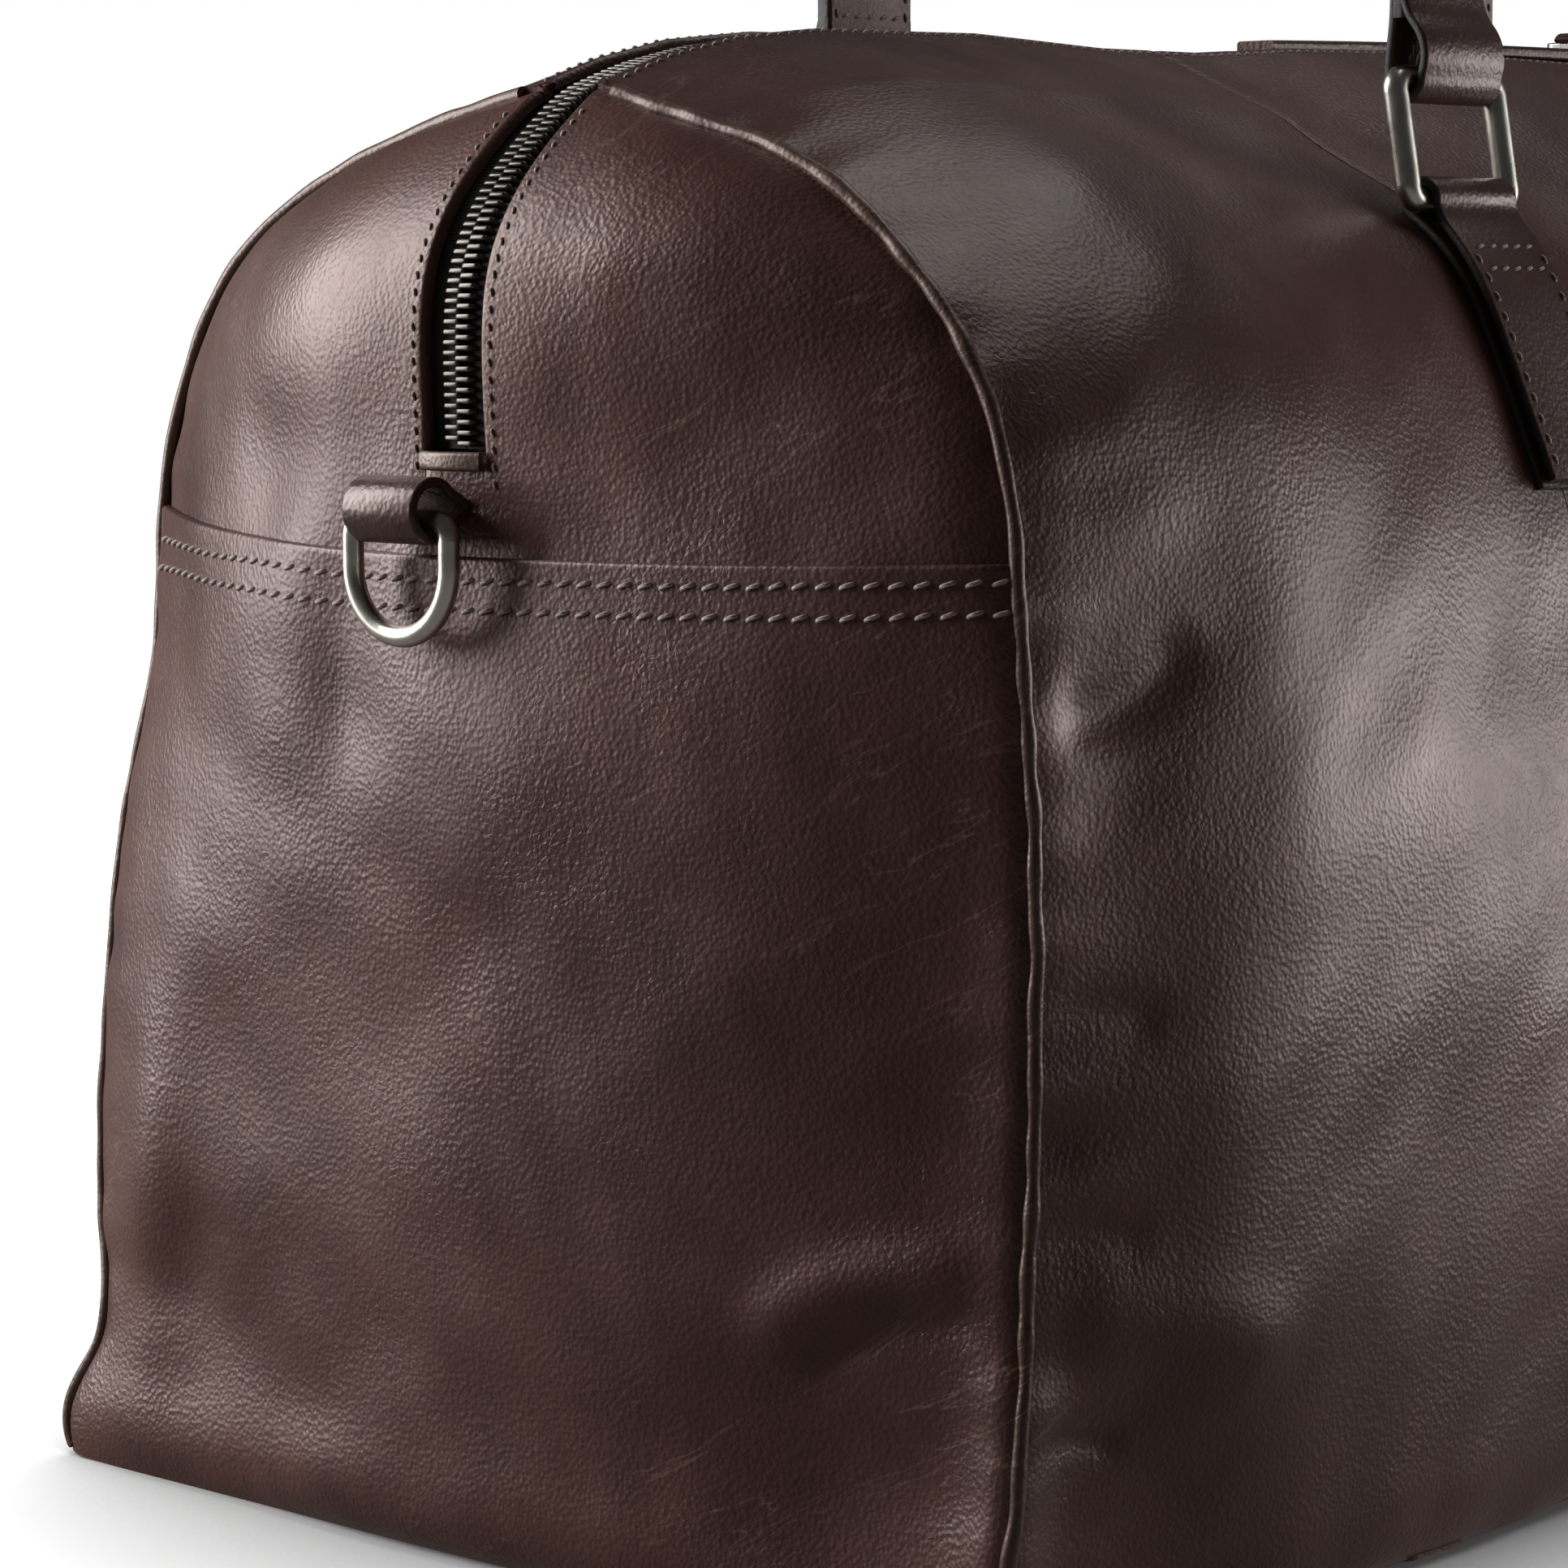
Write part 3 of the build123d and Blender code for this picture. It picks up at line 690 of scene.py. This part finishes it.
LEFT_END = [
    (dimple, (-96, 20), (34, 36), 12, -7.5),
    (fold, [(-66, 50), (-82, 62), (-102, 68), (-118, 69)], 6, 2.4),
    (fold, [(-76, 44), (-90, 56), (-106, 61), (-118, 62)], 4.5, -1.6),
    (dimple, (-8, 150), (30, 22), 8, 3.2),
    (dimple, (30, 172), (12, 30), 5, -2.4),
    (dimple, (56, 205), (16, 20), 35, -2.0),
    (dimple, (45, 232), (24, 18), 20, 1.4),
    (dimple, (-55, 205), (34, 26), 0, -2.2),
    (dimple, (98, 60), (12, 44), 8, 3.0),
    (fold, [(118, 30), (100, 36), (84, 48), (74, 64)], 10, -1.3),
    (dimple, (-95, 130), (30, 60), 0, -2.5),
]
RIGHT_END = [
    (dimple, (85, 60), (34, 26), -20, -6),
    (fold, [(112, 76), (92, 72), (70, 60)], 6, 2.0),
    (dimple, (-30, 140), (36, 28), 0, 3.0),
    (fold, [(-116, 34), (-98, 40), (-78, 52)], 7, -2.4),
]


def wall_relief(face, grid, run):
    """Height of the soft hollows and folds of a wall; run is the distance up from the base edge."""
    x, b = grid[..., 0], np.broadcast_to(run, grid.shape[:2])
    seed = 11 if face == "front" else 37
    relief = 1.5 * ripples(x, b, 150, seed) + 0.6 * ripples(x, b, 62, seed + 1)
    relief = relief + 0.22 * ripples(x, b, 26, seed + 2)
    for side in (-1, 1):
        marks = CRUMPLED_WALL if face == "front" or side == 1 else SLUMPED_WALL
        relief = marked(relief, x * -side, b, marks)
    seam_distance = np.maximum(np.minimum(x - grid[:, :1, 0], grid[:, -1:, 0] - x), 0)
    pull = np.exp(-seam_distance / 5)
    swell = 1 - np.exp(-((seam_distance / 34) ** 1.5))
    swell = swell + 0.5 * np.exp(-(((seam_distance - 46) / 30) ** 2))
    pucker = ripples(b, x * 0.25, 15, seed + 5) * np.exp(-seam_distance / 13)
    return relief * held_at_seam(seam_distance) - PILLOW * pull + SWELL * swell + 0.8 * pucker


def wall_shape(face, columns, fractions):
    """Relief applied: points in space, unit normals and the distance from the lip."""
    way = -1 if face == "front" else 1
    grid = wall_grid(face, columns, fractions)
    run = (fractions * WALL_LENGTH)[:, None]
    points = grid * (1, way, 1)
    outward = facing(points, (0, way, 0.4))
    fade = np.clip((WALL_LENGTH - run) / 40, 0, 1) * np.clip((run + 1) / 9, 0, 1)
    relief = wall_relief(face, grid, run) * fade
    points = points + grid_normals(points, outward) * relief[..., None]
    points[..., 2] = np.maximum(points[..., 2], 0)
    return points, grid_normals(points, outward), np.broadcast_to(WALL_LENGTH - run, relief.shape)


def end_shape(fractions, columns):
    """The left end panel without relief; columns run front to back, from -2 to 2.

    Up to 1, a column's size is its share of the half slot. From 1 to 2 it goes on from the slot to the seam.
    """
    front = seam_points("front", fractions)
    back = seam_points("back", fractions)
    height = (front[:, 2] + back[:, 2]) / 2
    middle_x = -np.interp(height, END_LINE[:, 1], END_LINE[:, 0])
    points = np.zeros((len(fractions), len(columns), 3))
    for i in range(len(fractions)):
        for seam, way, mine in ((front[i], -1, columns <= 0), (back[i], 1, columns > 0)):
            part = np.abs(columns[mine])
            y = np.where(part <= 1, part * SLOT_HALF, SLOT_HALF + (part - 1) * (seam[1] - SLOT_HALF))
            share = y / seam[1]
            points[i, mine, 0] = middle_x[i] + (seam[0] - middle_x[i]) * share**2.3
            points[i, mine, 1] = way * y
            points[i, mine, 2] = height[i] + (seam[2] - height[i]) * share**2
    return points


def end_relief(end, points):
    """Height of the soft hollows and folds of an end panel."""
    a, b = points[..., 1], points[..., 2]
    seed, marks = (71, LEFT_END) if end == "left" else (93, RIGHT_END)
    relief = 1.4 * ripples(a, b, 120, seed) + 0.5 * ripples(a, b, 55, seed + 1)
    return marked(relief + 0.2 * ripples(a, b, 24, seed + 2), a, b, marks)


def end_panel_shape(end, fractions, columns):
    """Relief applied: points in space and unit normals of either end panel."""
    points = end_shape(fractions, columns)
    outward = facing(points, (-1, 0, 0.25))
    normals = grid_normals(points, outward)
    y, z = points[..., 1], points[..., 2]
    seam_distance = np.maximum(np.minimum(y - y[:, :1], y[:, -1:] - y), 0)
    fade = np.clip((z + 1) / 7, 0, 1) * np.clip((278 - z) / 30, 0, 1)
    relief = end_relief(end, points) * fade * held_at_seam(seam_distance)
    beside_slot = eased((np.abs(y) - 6) / 26)
    below_slot = eased((226 - z) / 40)
    relief = relief * np.maximum(0.12, 1 - (1 - beside_slot) * (1 - below_slot))
    pull = np.exp(-seam_distance / 5)
    pucker = ripples(z, y * 0.25, 14, 5) * np.exp(-seam_distance / 11)
    relief = relief + (-1.5 * pull + 0.6 * pucker) * np.clip(z / 14, 0, 1)
    points = points + normals * relief[..., None]
    flip = (1 if end == "left" else -1, 1, 1)
    return points * flip, grid_normals(points, outward) * flip


# ================================================================ leather walls
ROW_STEP = 1.7
wall_rows = rows_to_lip(WALL_LENGTH, ROW_STEP)
side_share = np.linspace(0, 1, 112) ** 1.15
left_columns = np.stack([1 - side_share, -(PANEL_SEAM_X + 0.1) * side_share], 1)
centre_x = np.linspace(-PANEL_SEAM_X + 0.1, PANEL_SEAM_X - 0.1, 141)
wall_columns = {
    "left": left_columns,
    "centre": np.stack([centre_x * 0, centre_x], 1),
    "right": -left_columns[::-1],
}
walls = {}
for face in ("front", "back"):
    walls[face] = wall_shape(face, np.concatenate(list(wall_columns.values())), wall_rows)
    points, normals, lip = walls[face]
    seam_gap = np.minimum(np.abs(np.abs(points[..., 0]) - PANEL_SEAM_X) + 0.25, 9.25)
    start = 0
    for place, columns in wall_columns.items():
        part = slice(start, start + len(columns))
        skin(f"{face}_{place}_panel", LEATHER, points[:, part], normals[:, part], SKIN,
             edge_distance=np.minimum(lip, seam_gap)[:, part])
        start = part.stop

# ================================================================ leather ends and pockets
POCKET_SAG = 3.2          # how much higher a pocket's edge is 110 mm beside its middle
end_rows = rows_to_lip(330.0, 1.6)
half = np.concatenate([[1], 1 + edge_steps[1:] / 116.0, np.linspace(1.055, 2, 66)])
end_columns = np.concatenate([-half[::-1], np.linspace(-0.75, 0.75, 7), half])
slot_cells = slice(len(half) - 1, len(half) + 7)
ends = {}
for end, flip in (("left", -1), ("right", 1)):
    points, normals = end_panel_shape(end, end_rows, end_columns)
    keep = all_cells(points)
    middle_z = points[:, points.shape[1] // 2, 2]
    keep[middle_z[:-1] >= ZIP_END_Z - 0.8, slot_cells] = False
    slot_edge = np.abs(points[..., 1]) - SLOT_HALF
    edge = np.where((points[..., 2] > ZIP_END_Z - 1) & (slot_edge > -0.5), np.maximum(slot_edge, 0), 9.0)
    ends[end] = Surface(points, keep)
    skin(end + "_end_panel", LEATHER, points, normals, SKIN, keep, edge)

    # the pocket lies on the lower part, proud by its own thickness
    heights = np.concatenate([np.arange(0, 182, 1.8), POCKET_TOP - edge_steps[::-1] * 0.9])
    points, normals = end_panel_shape(end, np.interp(heights, middle_z, end_rows), np.linspace(-2, 2, 150))
    y = points[..., 1]
    points[..., 2] += POCKET_SAG * (y / 110.0) ** 2 * np.clip((heights[:, None] - 140) / 50, 0, 1)
    seam_distance = np.minimum(np.abs(y - y[:, :1]), np.abs(y - y[:, -1:]))
    points = points + normals * (1.7 * np.clip(seam_distance / 3.0, 0.12, 1))[..., None]
    skin(end + "_end_pocket", EDGED_LEATHER, points, normals, 1.6,
         edge_distance=np.broadcast_to((POCKET_TOP - heights)[:, None], y.shape), roll=0.9)
    surface = Surface(points)
    rows_of_thread = []
    for below in (4.6, 10.0):
        y = np.linspace(-116.5, 116.5, 160)
        x = (314 - 18 * (np.abs(y) / 117) ** 2.3) * flip
        z = POCKET_TOP - below + POCKET_SAG * (y / 110.0) ** 2
        line, up = surface.drop(np.stack([x, y, z], 1), np.stack([x, y * 0, z * 0], 1))
        rows_of_thread.append(stitches(line, up, 4.6, 3.8, 0.44, 1.1, 0.35))
    build(end + "_pocket_stitching", joined(rows_of_thread), [THREAD], "bag")


# ================================================================ end seams
fractions = np.linspace(0.004, 0.985, 420)
ring = np.linspace(0, 2 * math.pi, 12, endpoint=False)
round_section = np.stack([np.cos(ring), np.sin(ring)], 1)
for end, flip in (("left", 1), ("right", -1)):
    for face, way in (("front", -1), ("back", 1)):
        line = seam_points(face, fractions) * (1, way, 1)
        rise = np.clip((line[:, 2] - 150) / 80, 0, 1.6)
        out = unit(np.stack([np.full(len(line), -0.5), line[:, 1] / 90, rise], 1))
        run = lengths(line)
        sway = 0.45 * ripples(run, run * 0, 26, 8 + way) + 0.2 * ripples(run, run * 0, 9, 18 + way)
        line = line + out * (sway * 0.4 - 0.8)[:, None]
        line[:, 0] += sway * 0.7 - 0.3
        line[:, 2] = np.maximum(line[:, 2], 1.6)
        thick = 1.35 + 0.25 * np.clip((line[:, 2] - 215) / 40, 0, 1)
        thick = thick + 0.22 * ripples(run, run * 0, 12, 29 + way)
        piping = sweep(line * (flip, 1, 1), out * (flip, 1, 1), thick[:, None, None] * round_section[None])
        build(f"{end}_{face}_piping_leather", piping, [PIPING_LEATHER], "bag",
              (f"{end}_{face}_piping",))


# ================================================================ base and lining
front_edge = walls["front"][0][0]
back_edge = walls["back"][0][0]
grid = front_edge + (back_edge - front_edge) * np.linspace(0, 1, 60)[:, None, None]
grid[..., 2] = 0
skin("base_panel", EDGED_LEATHER, grid, facing(grid, (0, 0, -1)), SKIN)

lining_share = np.linspace(1, -1, 120)
for face in ("front", "back"):
    points, normals, _ = wall_shape(face, np.stack([lining_share * 0.955, lining_share * 0], 1),
                                    np.linspace(0.05, 0.985, 90))
    skin(face + "_lining", LINING, points - normals * 5.0, normals, 0.6)
for end in ("left", "right"):
    points, normals = end_panel_shape(end, np.linspace(0.05, 0.70, 60), np.linspace(-1.90, 1.90, 60))
    skin(end + "_end_lining", LINING, points - normals * 6.0, normals, 0.6)
flat_x, flat_y = np.meshgrid(np.linspace(-292, 292, 60), np.linspace(-108, 108, 30))
flat = np.stack([flat_x, flat_y, 4.4 + 0.4 * ripples(flat_x, flat_y, 60, 3)], -1)
skin("base_lining", LINING, flat, facing(flat, (0, 0, 1)), 0.6)

# ================================================================ zipper
end_part = END_LINE[END_LINE[:, 1] >= ZIP_END_Z][:-1]
lip = (walls["front"][0][-1] + walls["back"][0][-1]) / 2
top = lip[np.abs(lip[:, 0]) < 283][:, [0, 2]]
zip_line = np.concatenate([end_part * (-1, 1), top, end_part[::-1]])
zip_line = zip_line[np.concatenate([[True], np.linalg.norm(np.diff(zip_line, axis=0), axis=1) > 0.05])]
run = lengths(zip_line)
zip_line = at_length(zip_line, run, np.linspace(0, run[-1], 600))
SMOOTHED_OVER = 9         # points of the line that are averaged
padded_line = np.pad(zip_line, ((SMOOTHED_OVER // 2,) * 2, (0, 0)), "edge")
kernel = np.ones(SMOOTHED_OVER) / SMOOTHED_OVER
zip_line = np.stack([np.convolve(padded_line[:, i], kernel, "valid") for i in (0, 1)], 1)
ZIP_RUN = lengths(zip_line)
zip_tangent = unit(np.gradient(zip_line, axis=0))
zip_up = np.stack([-zip_tangent[:, 1], zip_tangent[:, 0]], 1)


def on_zip(distance, across, height):
    """A point beside the zipper: distance along it, across towards the back, height off the lips."""
    up = unit(at_length(zip_up, ZIP_RUN, distance))
    x, z = (at_length(zip_line, ZIP_RUN, distance) + up * height).T
    return np.stack([x, np.full_like(x, across), z], 1)


CHAIN_DEPTH = 2.4
along = np.linspace(0.5, ZIP_RUN[-1] - 0.5, 500)
for face, way in (("front", -1), ("back", 1)):
    points = np.stack([on_zip(along, way * y, -CHAIN_DEPTH - (1.8 if y > 7 else 1.1))
                       for y in np.linspace(0.15, 14, 8)])
    flat = points[..., 0] * 0
    normals = grid_normals(points, np.stack([points[..., 0] * 0.02, flat, flat + 1], -1))
    skin("zipper_tape_" + face, TAPE, points, normals, 0.5)

TOOTH_PITCH = 1.95
tooth_count = int((ZIP_RUN[-1] - 3) / TOOTH_PITCH)
tooth_shape = rounded(4.4, 1.05, 0.42, 2)
for face, way in (("front", -1), ("back", 1)):
    parts = []
    for i in range(tooth_count):
        where = np.array([1.5 + (i + (0.5 if face == "back" else 0)) * TOOTH_PITCH])
        low = on_zip(where, way * 1.6, -CHAIN_DEPTH - 1.0)[0]
        high = on_zip(where, way * 1.6, -CHAIN_DEPTH + 1.1)[0]
        up = unit(high - low)
        side = np.array([0, 1.0, 0])
        rings = []
        for h, shrink in ((0.0, 1.0), (0.75, 1.0), (0.95, 0.86), (1.0, 0.62)):
            rings.append(low + (high - low) * h
                         + (side * tooth_shape[:, :1] + np.cross(side, up) * tooth_shape[:, 1:]) * shrink)
        parts.append((np.concatenate(rings), tube_faces(len(rings), len(tooth_shape))))
    build("zipper_teeth_" + face, joined(parts), [TEETH_METAL], "bag",
          ("zipper_chain_" + face,))

# stitching beside the lips: along the walls on top, along the slot on the ends
LIP_THREADS = (3.1, 2.2, 0.34, 0.5)      # pitch, length, radius and slant of a stitch
for face, way in (("front", -1), ("back", 1)):
    points, normals, lip_gap = walls[face]
    row = np.argmin(np.abs(lip_gap[:, 0] - LIP_STITCH))
    usable = np.abs(points[row, :, 0]) < 284
    rows_of_thread = [stitches(points[row, usable], normals[row, usable], *LIP_THREADS)]
    heights = np.linspace(ZIP_END_Z - 6, 273, 120)
    for end, side in (("left", -1), ("right", 1)):
        x = side * np.interp(heights, END_LINE[:, 1], END_LINE[:, 0])
        line = np.stack([x, np.full_like(x, way * (SLOT_HALF + LIP_STITCH)), heights], 1)
        line, up = ends[end].drop(line, facing(line, (side, 0, 0.3)))
        rows_of_thread.append(stitches(line, up, *LIP_THREADS))
    build("lip_stitching_" + face, joined(rows_of_thread), [LIP_THREAD], "bag")


# ================================================================ zipper end bars and D-ring loops
LAYER = 1.9               # thickness of strap leather
for end, flip in (("left", -1), ("right", 1)):
    low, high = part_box(end + "_zipper_end_bar")
    bar_z = (low.z + high.z) / 2 / MM
    ys = np.linspace(-7.6, 7.6, 24)
    xs = flip * (318.3 - 0.012 * ys**2)
    bow = 0.35 * np.cos(ys / 7.6 * 1.57)
    path = np.stack([xs + flip * bow, ys, np.full_like(ys, bar_z - 1.2)], 1)
    bar = strap_band(path, (0, 0, 1), 3.6, 1.7, 0.8)
    build(end + "_zipper_end_bar_leather", bar, [PIPING_LEATHER], "bag",
          (end + "_zipper_end_bar",))

    low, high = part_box(end + "_d_ring_loop")
    centre = (low + high) / 2 / MM
    width = (high.y - low.y) / MM
    turn = np.radians(np.linspace(-142, 142, 44))
    radius = 5.3
    arc = np.stack([centre.x + flip * radius * np.cos(turn), np.full_like(turn, centre.y),
                    centre.z + radius * np.sin(turn)], 1)
    head = arc[0] + np.array([(-flip * 4.2, 0, 2.6), (-flip * 2.6, 0, 1.4)])
    tail = arc[-1] + np.array([(-flip * 2.6, 0, -1.4), (-flip * 4.2, 0, -2.6)])
    loop = strap_band(np.concatenate([head, arc, tail]), (0, 1, 0), width, LAYER, 0.8)
    build(end + "_d_ring_loop_leather", loop, [STRAP_LEATHER], "bag",
          (end + "_d_ring_loop",))


def finish_node(name, material):
    """Gives a CAD node that stays in view a better material."""
    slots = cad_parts[name].data.materials
    slots.clear()
    slots.append(material)


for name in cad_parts:
    if name.endswith("_ring"):
        finish_node(name, NICKEL)

# ================================================================ handle tabs
def side_slots(rings, corner=4):
    """Material 1 for the two narrow sides of a rounded band, and for its end faces."""
    per = 4 * (corner + 1)
    narrow = {0, 1, corner + corner // 2 + 1, 2 * corner, 2 * corner + 1, 2 * corner + 2, 2 * corner + 3,
              per - 1, per - 2, per - 3}
    return [1 if j in narrow else 0 for j in range(per)] * (rings - 1) + [1, 1]


def edge_and_cross(face_line, up, half_width, low, high, crosses):
    """Stitches down both sides of a strap face, from low to high along it, and straight across at crosses."""
    run = lengths(face_line)
    inside = (run >= low) & (run <= high)
    rows = []
    for offset in (-half_width, half_width):
        rows.append(stitches(face_line[inside] + (offset, 0, 0), up[inside], 4.0, 2.9, 0.34, 0.3))
    for place in crosses:
        k = int(np.argmin(np.abs(run - place)))
        reach = np.linspace(-half_width + 1, half_width - 1, 24)
        line = face_line[k] + np.array([1.0, 0, 0]) * reach[:, None]
        rows.append(stitches(line, facing(line, up[k]), 4.2, 3.4, 0.38, 0.9))
    return joined(rows)


tab_curve = smooth_curve(HANDLE_OUTLINE, np.linspace(0, 1, 1200))
TAB_INNER, TAB_OUTER = 1.3, 4.6          # middle of each layer of a tab, off the wall
STITCH_INSET = 2.4                       # of a strap's stitches from its edge
BAR_INSET = 2.6                          # of the middle of a ring's wire from its outside
for face, way in (("front", -1), ("back", 1)):
    surface = Surface(walls[face][0])
    for end in ("left", "right"):
        name = face + "_" + end
        low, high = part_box(name + "_handle_tab")
        centre_x = (low.x + high.x) / 2 / MM
        width = (high.x - low.x) / MM
        ring_low, ring_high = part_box(name + "_ring")
        outer_y = max(abs(ring_low.y), abs(ring_high.y)) / MM
        bar = np.array([centre_x, way * (outer_y - BAR_INSET), ring_low.z / MM + BAR_INSET])
        part = tab_curve[(tab_curve[:, 1] > 198.0) & (tab_curve[:, 1] < 244.5) & (tab_curve[:, 0] > 20)]
        down = np.stack([np.full(len(part), centre_x), way * part[:, 0], part[:, 1]], 1)[::-1]
        laid, up = surface.drop(down, facing(down, (0, way, 0.5)))
        laid[:, 0] = centre_x
        up = unit(up * (0, 1, 1))
        inner_layer = laid + up * TAB_INNER
        outer_layer = laid + up * TAB_OUTER
        turn = np.radians(np.linspace(-70, 200, 40))
        reach = 3.9
        arc = bar + np.stack([turn * 0, -way * reach * np.cos(turn), reach * np.sin(turn)], 1)
        spine = np.concatenate([inner_layer[::-8][:-1], arc[1:-1:3], outer_layer[3::8]])
        path = smooth_curve(spine, np.linspace(0, 1, 240))
        tab = strap_band(path, (1, 0, 0), width, LAYER)
        build(name + "_handle_tab_leather", tab, [STRAP_LEATHER, EDGE], "bag",
              (name + "_handle_tab",), side_slots(len(path)))
        face_line = outer_layer + up * (LAYER / 2)
        end_row = lengths(face_line)[-1] - 2.6
        sewing = edge_and_cross(face_line, up, width / 2 - STITCH_INSET, 6, end_row, (5.4, 10.6, end_row))
        build(name + "_tab_stitching", sewing, [THREAD], "bag")

# ================================================================ handles
GRIP_HALF = 7.5
HANDLE_BEND = 60.0        # radius of a handle's two upper corners
for face, way in (("front", -1), ("back", 1)):
    low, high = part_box(face + "_handle_strap")
    ring_low, ring_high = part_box(face + "_left_ring")
    leg_x = abs((ring_low.x + ring_high.x) / 2 / MM)
    width = 2 * ((high.x - low.x) / 2 / MM - leg_x)
    inner_y = min(abs(ring_low.y), abs(ring_high.y)) / MM
    bar_y = way * (inner_y + BAR_INSET)
    bar_z = ring_high.z / MM - BAR_INSET
    top_z = high.z / MM - GRIP_HALF
    start_z = top_z - HANDLE_BEND
    z = np.linspace(bar_z + 12, start_z, 60)
    left = np.stack([z * 0 - leg_x, z * 0 + bar_y, z], 1)
    turn = np.linspace(math.pi, math.pi / 2, 50)
    bend = np.stack([-leg_x + HANDLE_BEND + HANDLE_BEND * np.cos(turn), turn * 0 + bar_y,
                     start_z + HANDLE_BEND * np.sin(turn)], 1)
    x = np.linspace(-leg_x + HANDLE_BEND, leg_x - HANDLE_BEND, 30)
    level = np.stack([x, x * 0 + bar_y, x * 0 + top_z], 1)
    half_handle = np.concatenate([left, bend[1:]])
    whole = np.concatenate([half_handle, level[1:], (half_handle * (-1, 1, 1))[-2::-1]])
    run = lengths(whole)
    whole = at_length(whole, run, np.linspace(0, run[-1], 300))
    run = lengths(whole)
    rolled = eased((np.minimum(run, run[-1] - run) - 36) / 34)      # 0 where flat, 1 in the round grip
    whole[:, 1] -= way * LAYER * (1 - rolled)
    share = rolled[:, None, None]
    sections = rounded(width, 4.1, 1.1, 6) * (1 - share) + rounded(14.6, 14.6, 7.2, 6) * share
    tangent = unit(np.gradient(whole, axis=0))
    side_dir = np.stack([tangent[:, 2], tangent[:, 0] * 0, -tangent[:, 0]], 1)
    parts = [sweep(whole, side_dir, sections)]
    slots = side_slots(len(whole), 6)
    # the loop, as (outward, up) from the bar: behind it, under it, then a fuller front layer
    behind = [(-2.9, 18), (-3.0, 12), (-3.6, 6)]
    under = [(3.95 * math.cos(a), 3.95 * math.sin(a)) for a in np.radians(np.linspace(180, 360, 15))]
    ahead_part = [(4.6, 3), (4.5, 6), (3.1, 9.5), (0.8, 12.6), (-0.85, 17)]
    loop = smooth_curve(behind + under + ahead_part, np.linspace(0, 1, 160))
    for side in (-1, 1):
        path = np.stack([np.full(len(loop), side * leg_x), bar_y + way * loop[:, 0], bar_z + loop[:, 1]], 1)
        parts.append(strap_band(path, (1, 0, 0), width, LAYER))
        slots += side_slots(len(loop))
    build(face + "_handle_leather", joined(parts), [STRAP_LEATHER, EDGE], face + "_handle",
          (face + "_handle_strap", face + "_handle_core"), slots)
    rows_of_thread = []
    z = np.linspace(bar_z + 12.6, bar_z + 46, 40)
    for side in (-1, 1):
        for out in (-1, 1):
            line = np.stack([z * 0 + side * leg_x, z * 0 + bar_y - way * LAYER + out * 2.05, z], 1)
            rows_of_thread.append(edge_and_cross(line, facing(line, (0, out, 0)), width / 2 - STITCH_INSET,
                                                 0, 40, (1.2, 5.8)))
    build(face + "_handle_stitching", joined(rows_of_thread), [THREAD], face + "_handle")

# ================================================================ sliders and pulls
for end, side in (("left", -1), ("right", 1)):
    low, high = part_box(end + "_pull_strap")
    middle_z = (low.z + high.z) / 2 / MM
    link_x, tip_x = ((high.x, low.x) if side < 0 else (low.x, high.x))
    link_x = link_x / MM + side * 3.4
    share = np.linspace(0, 1, 60)
    x = link_x + (tip_x / MM - side * 4 - link_x) * share
    strap = np.stack([x, x * 0 - 1.0, middle_z - 2.4 - 2.6 * share**1.6], 1)
    turn = np.radians(np.linspace(-150, 150, 30))
    loop = np.stack([link_x - side * 2.6 * np.cos(turn), turn * 0 - 1.0, middle_z + 2.6 * np.sin(turn)], 1)
    pull = joined([strap_band(strap, (0, 1, 0), 10.0, 3.0, 0.9), strap_band(loop, (0, 1, 0), 9.0, 1.4, 0.6)])
    build(end + "_pull_leather", pull, [STRAP_LEATHER], end + "_pull",
          (end + "_pull_strap",))
for name in ("left_slider", "right_slider", "left_pull_link", "right_pull_link"):
    finish_node(name, DARK_METAL)
finish_node("base_board", BOARD)
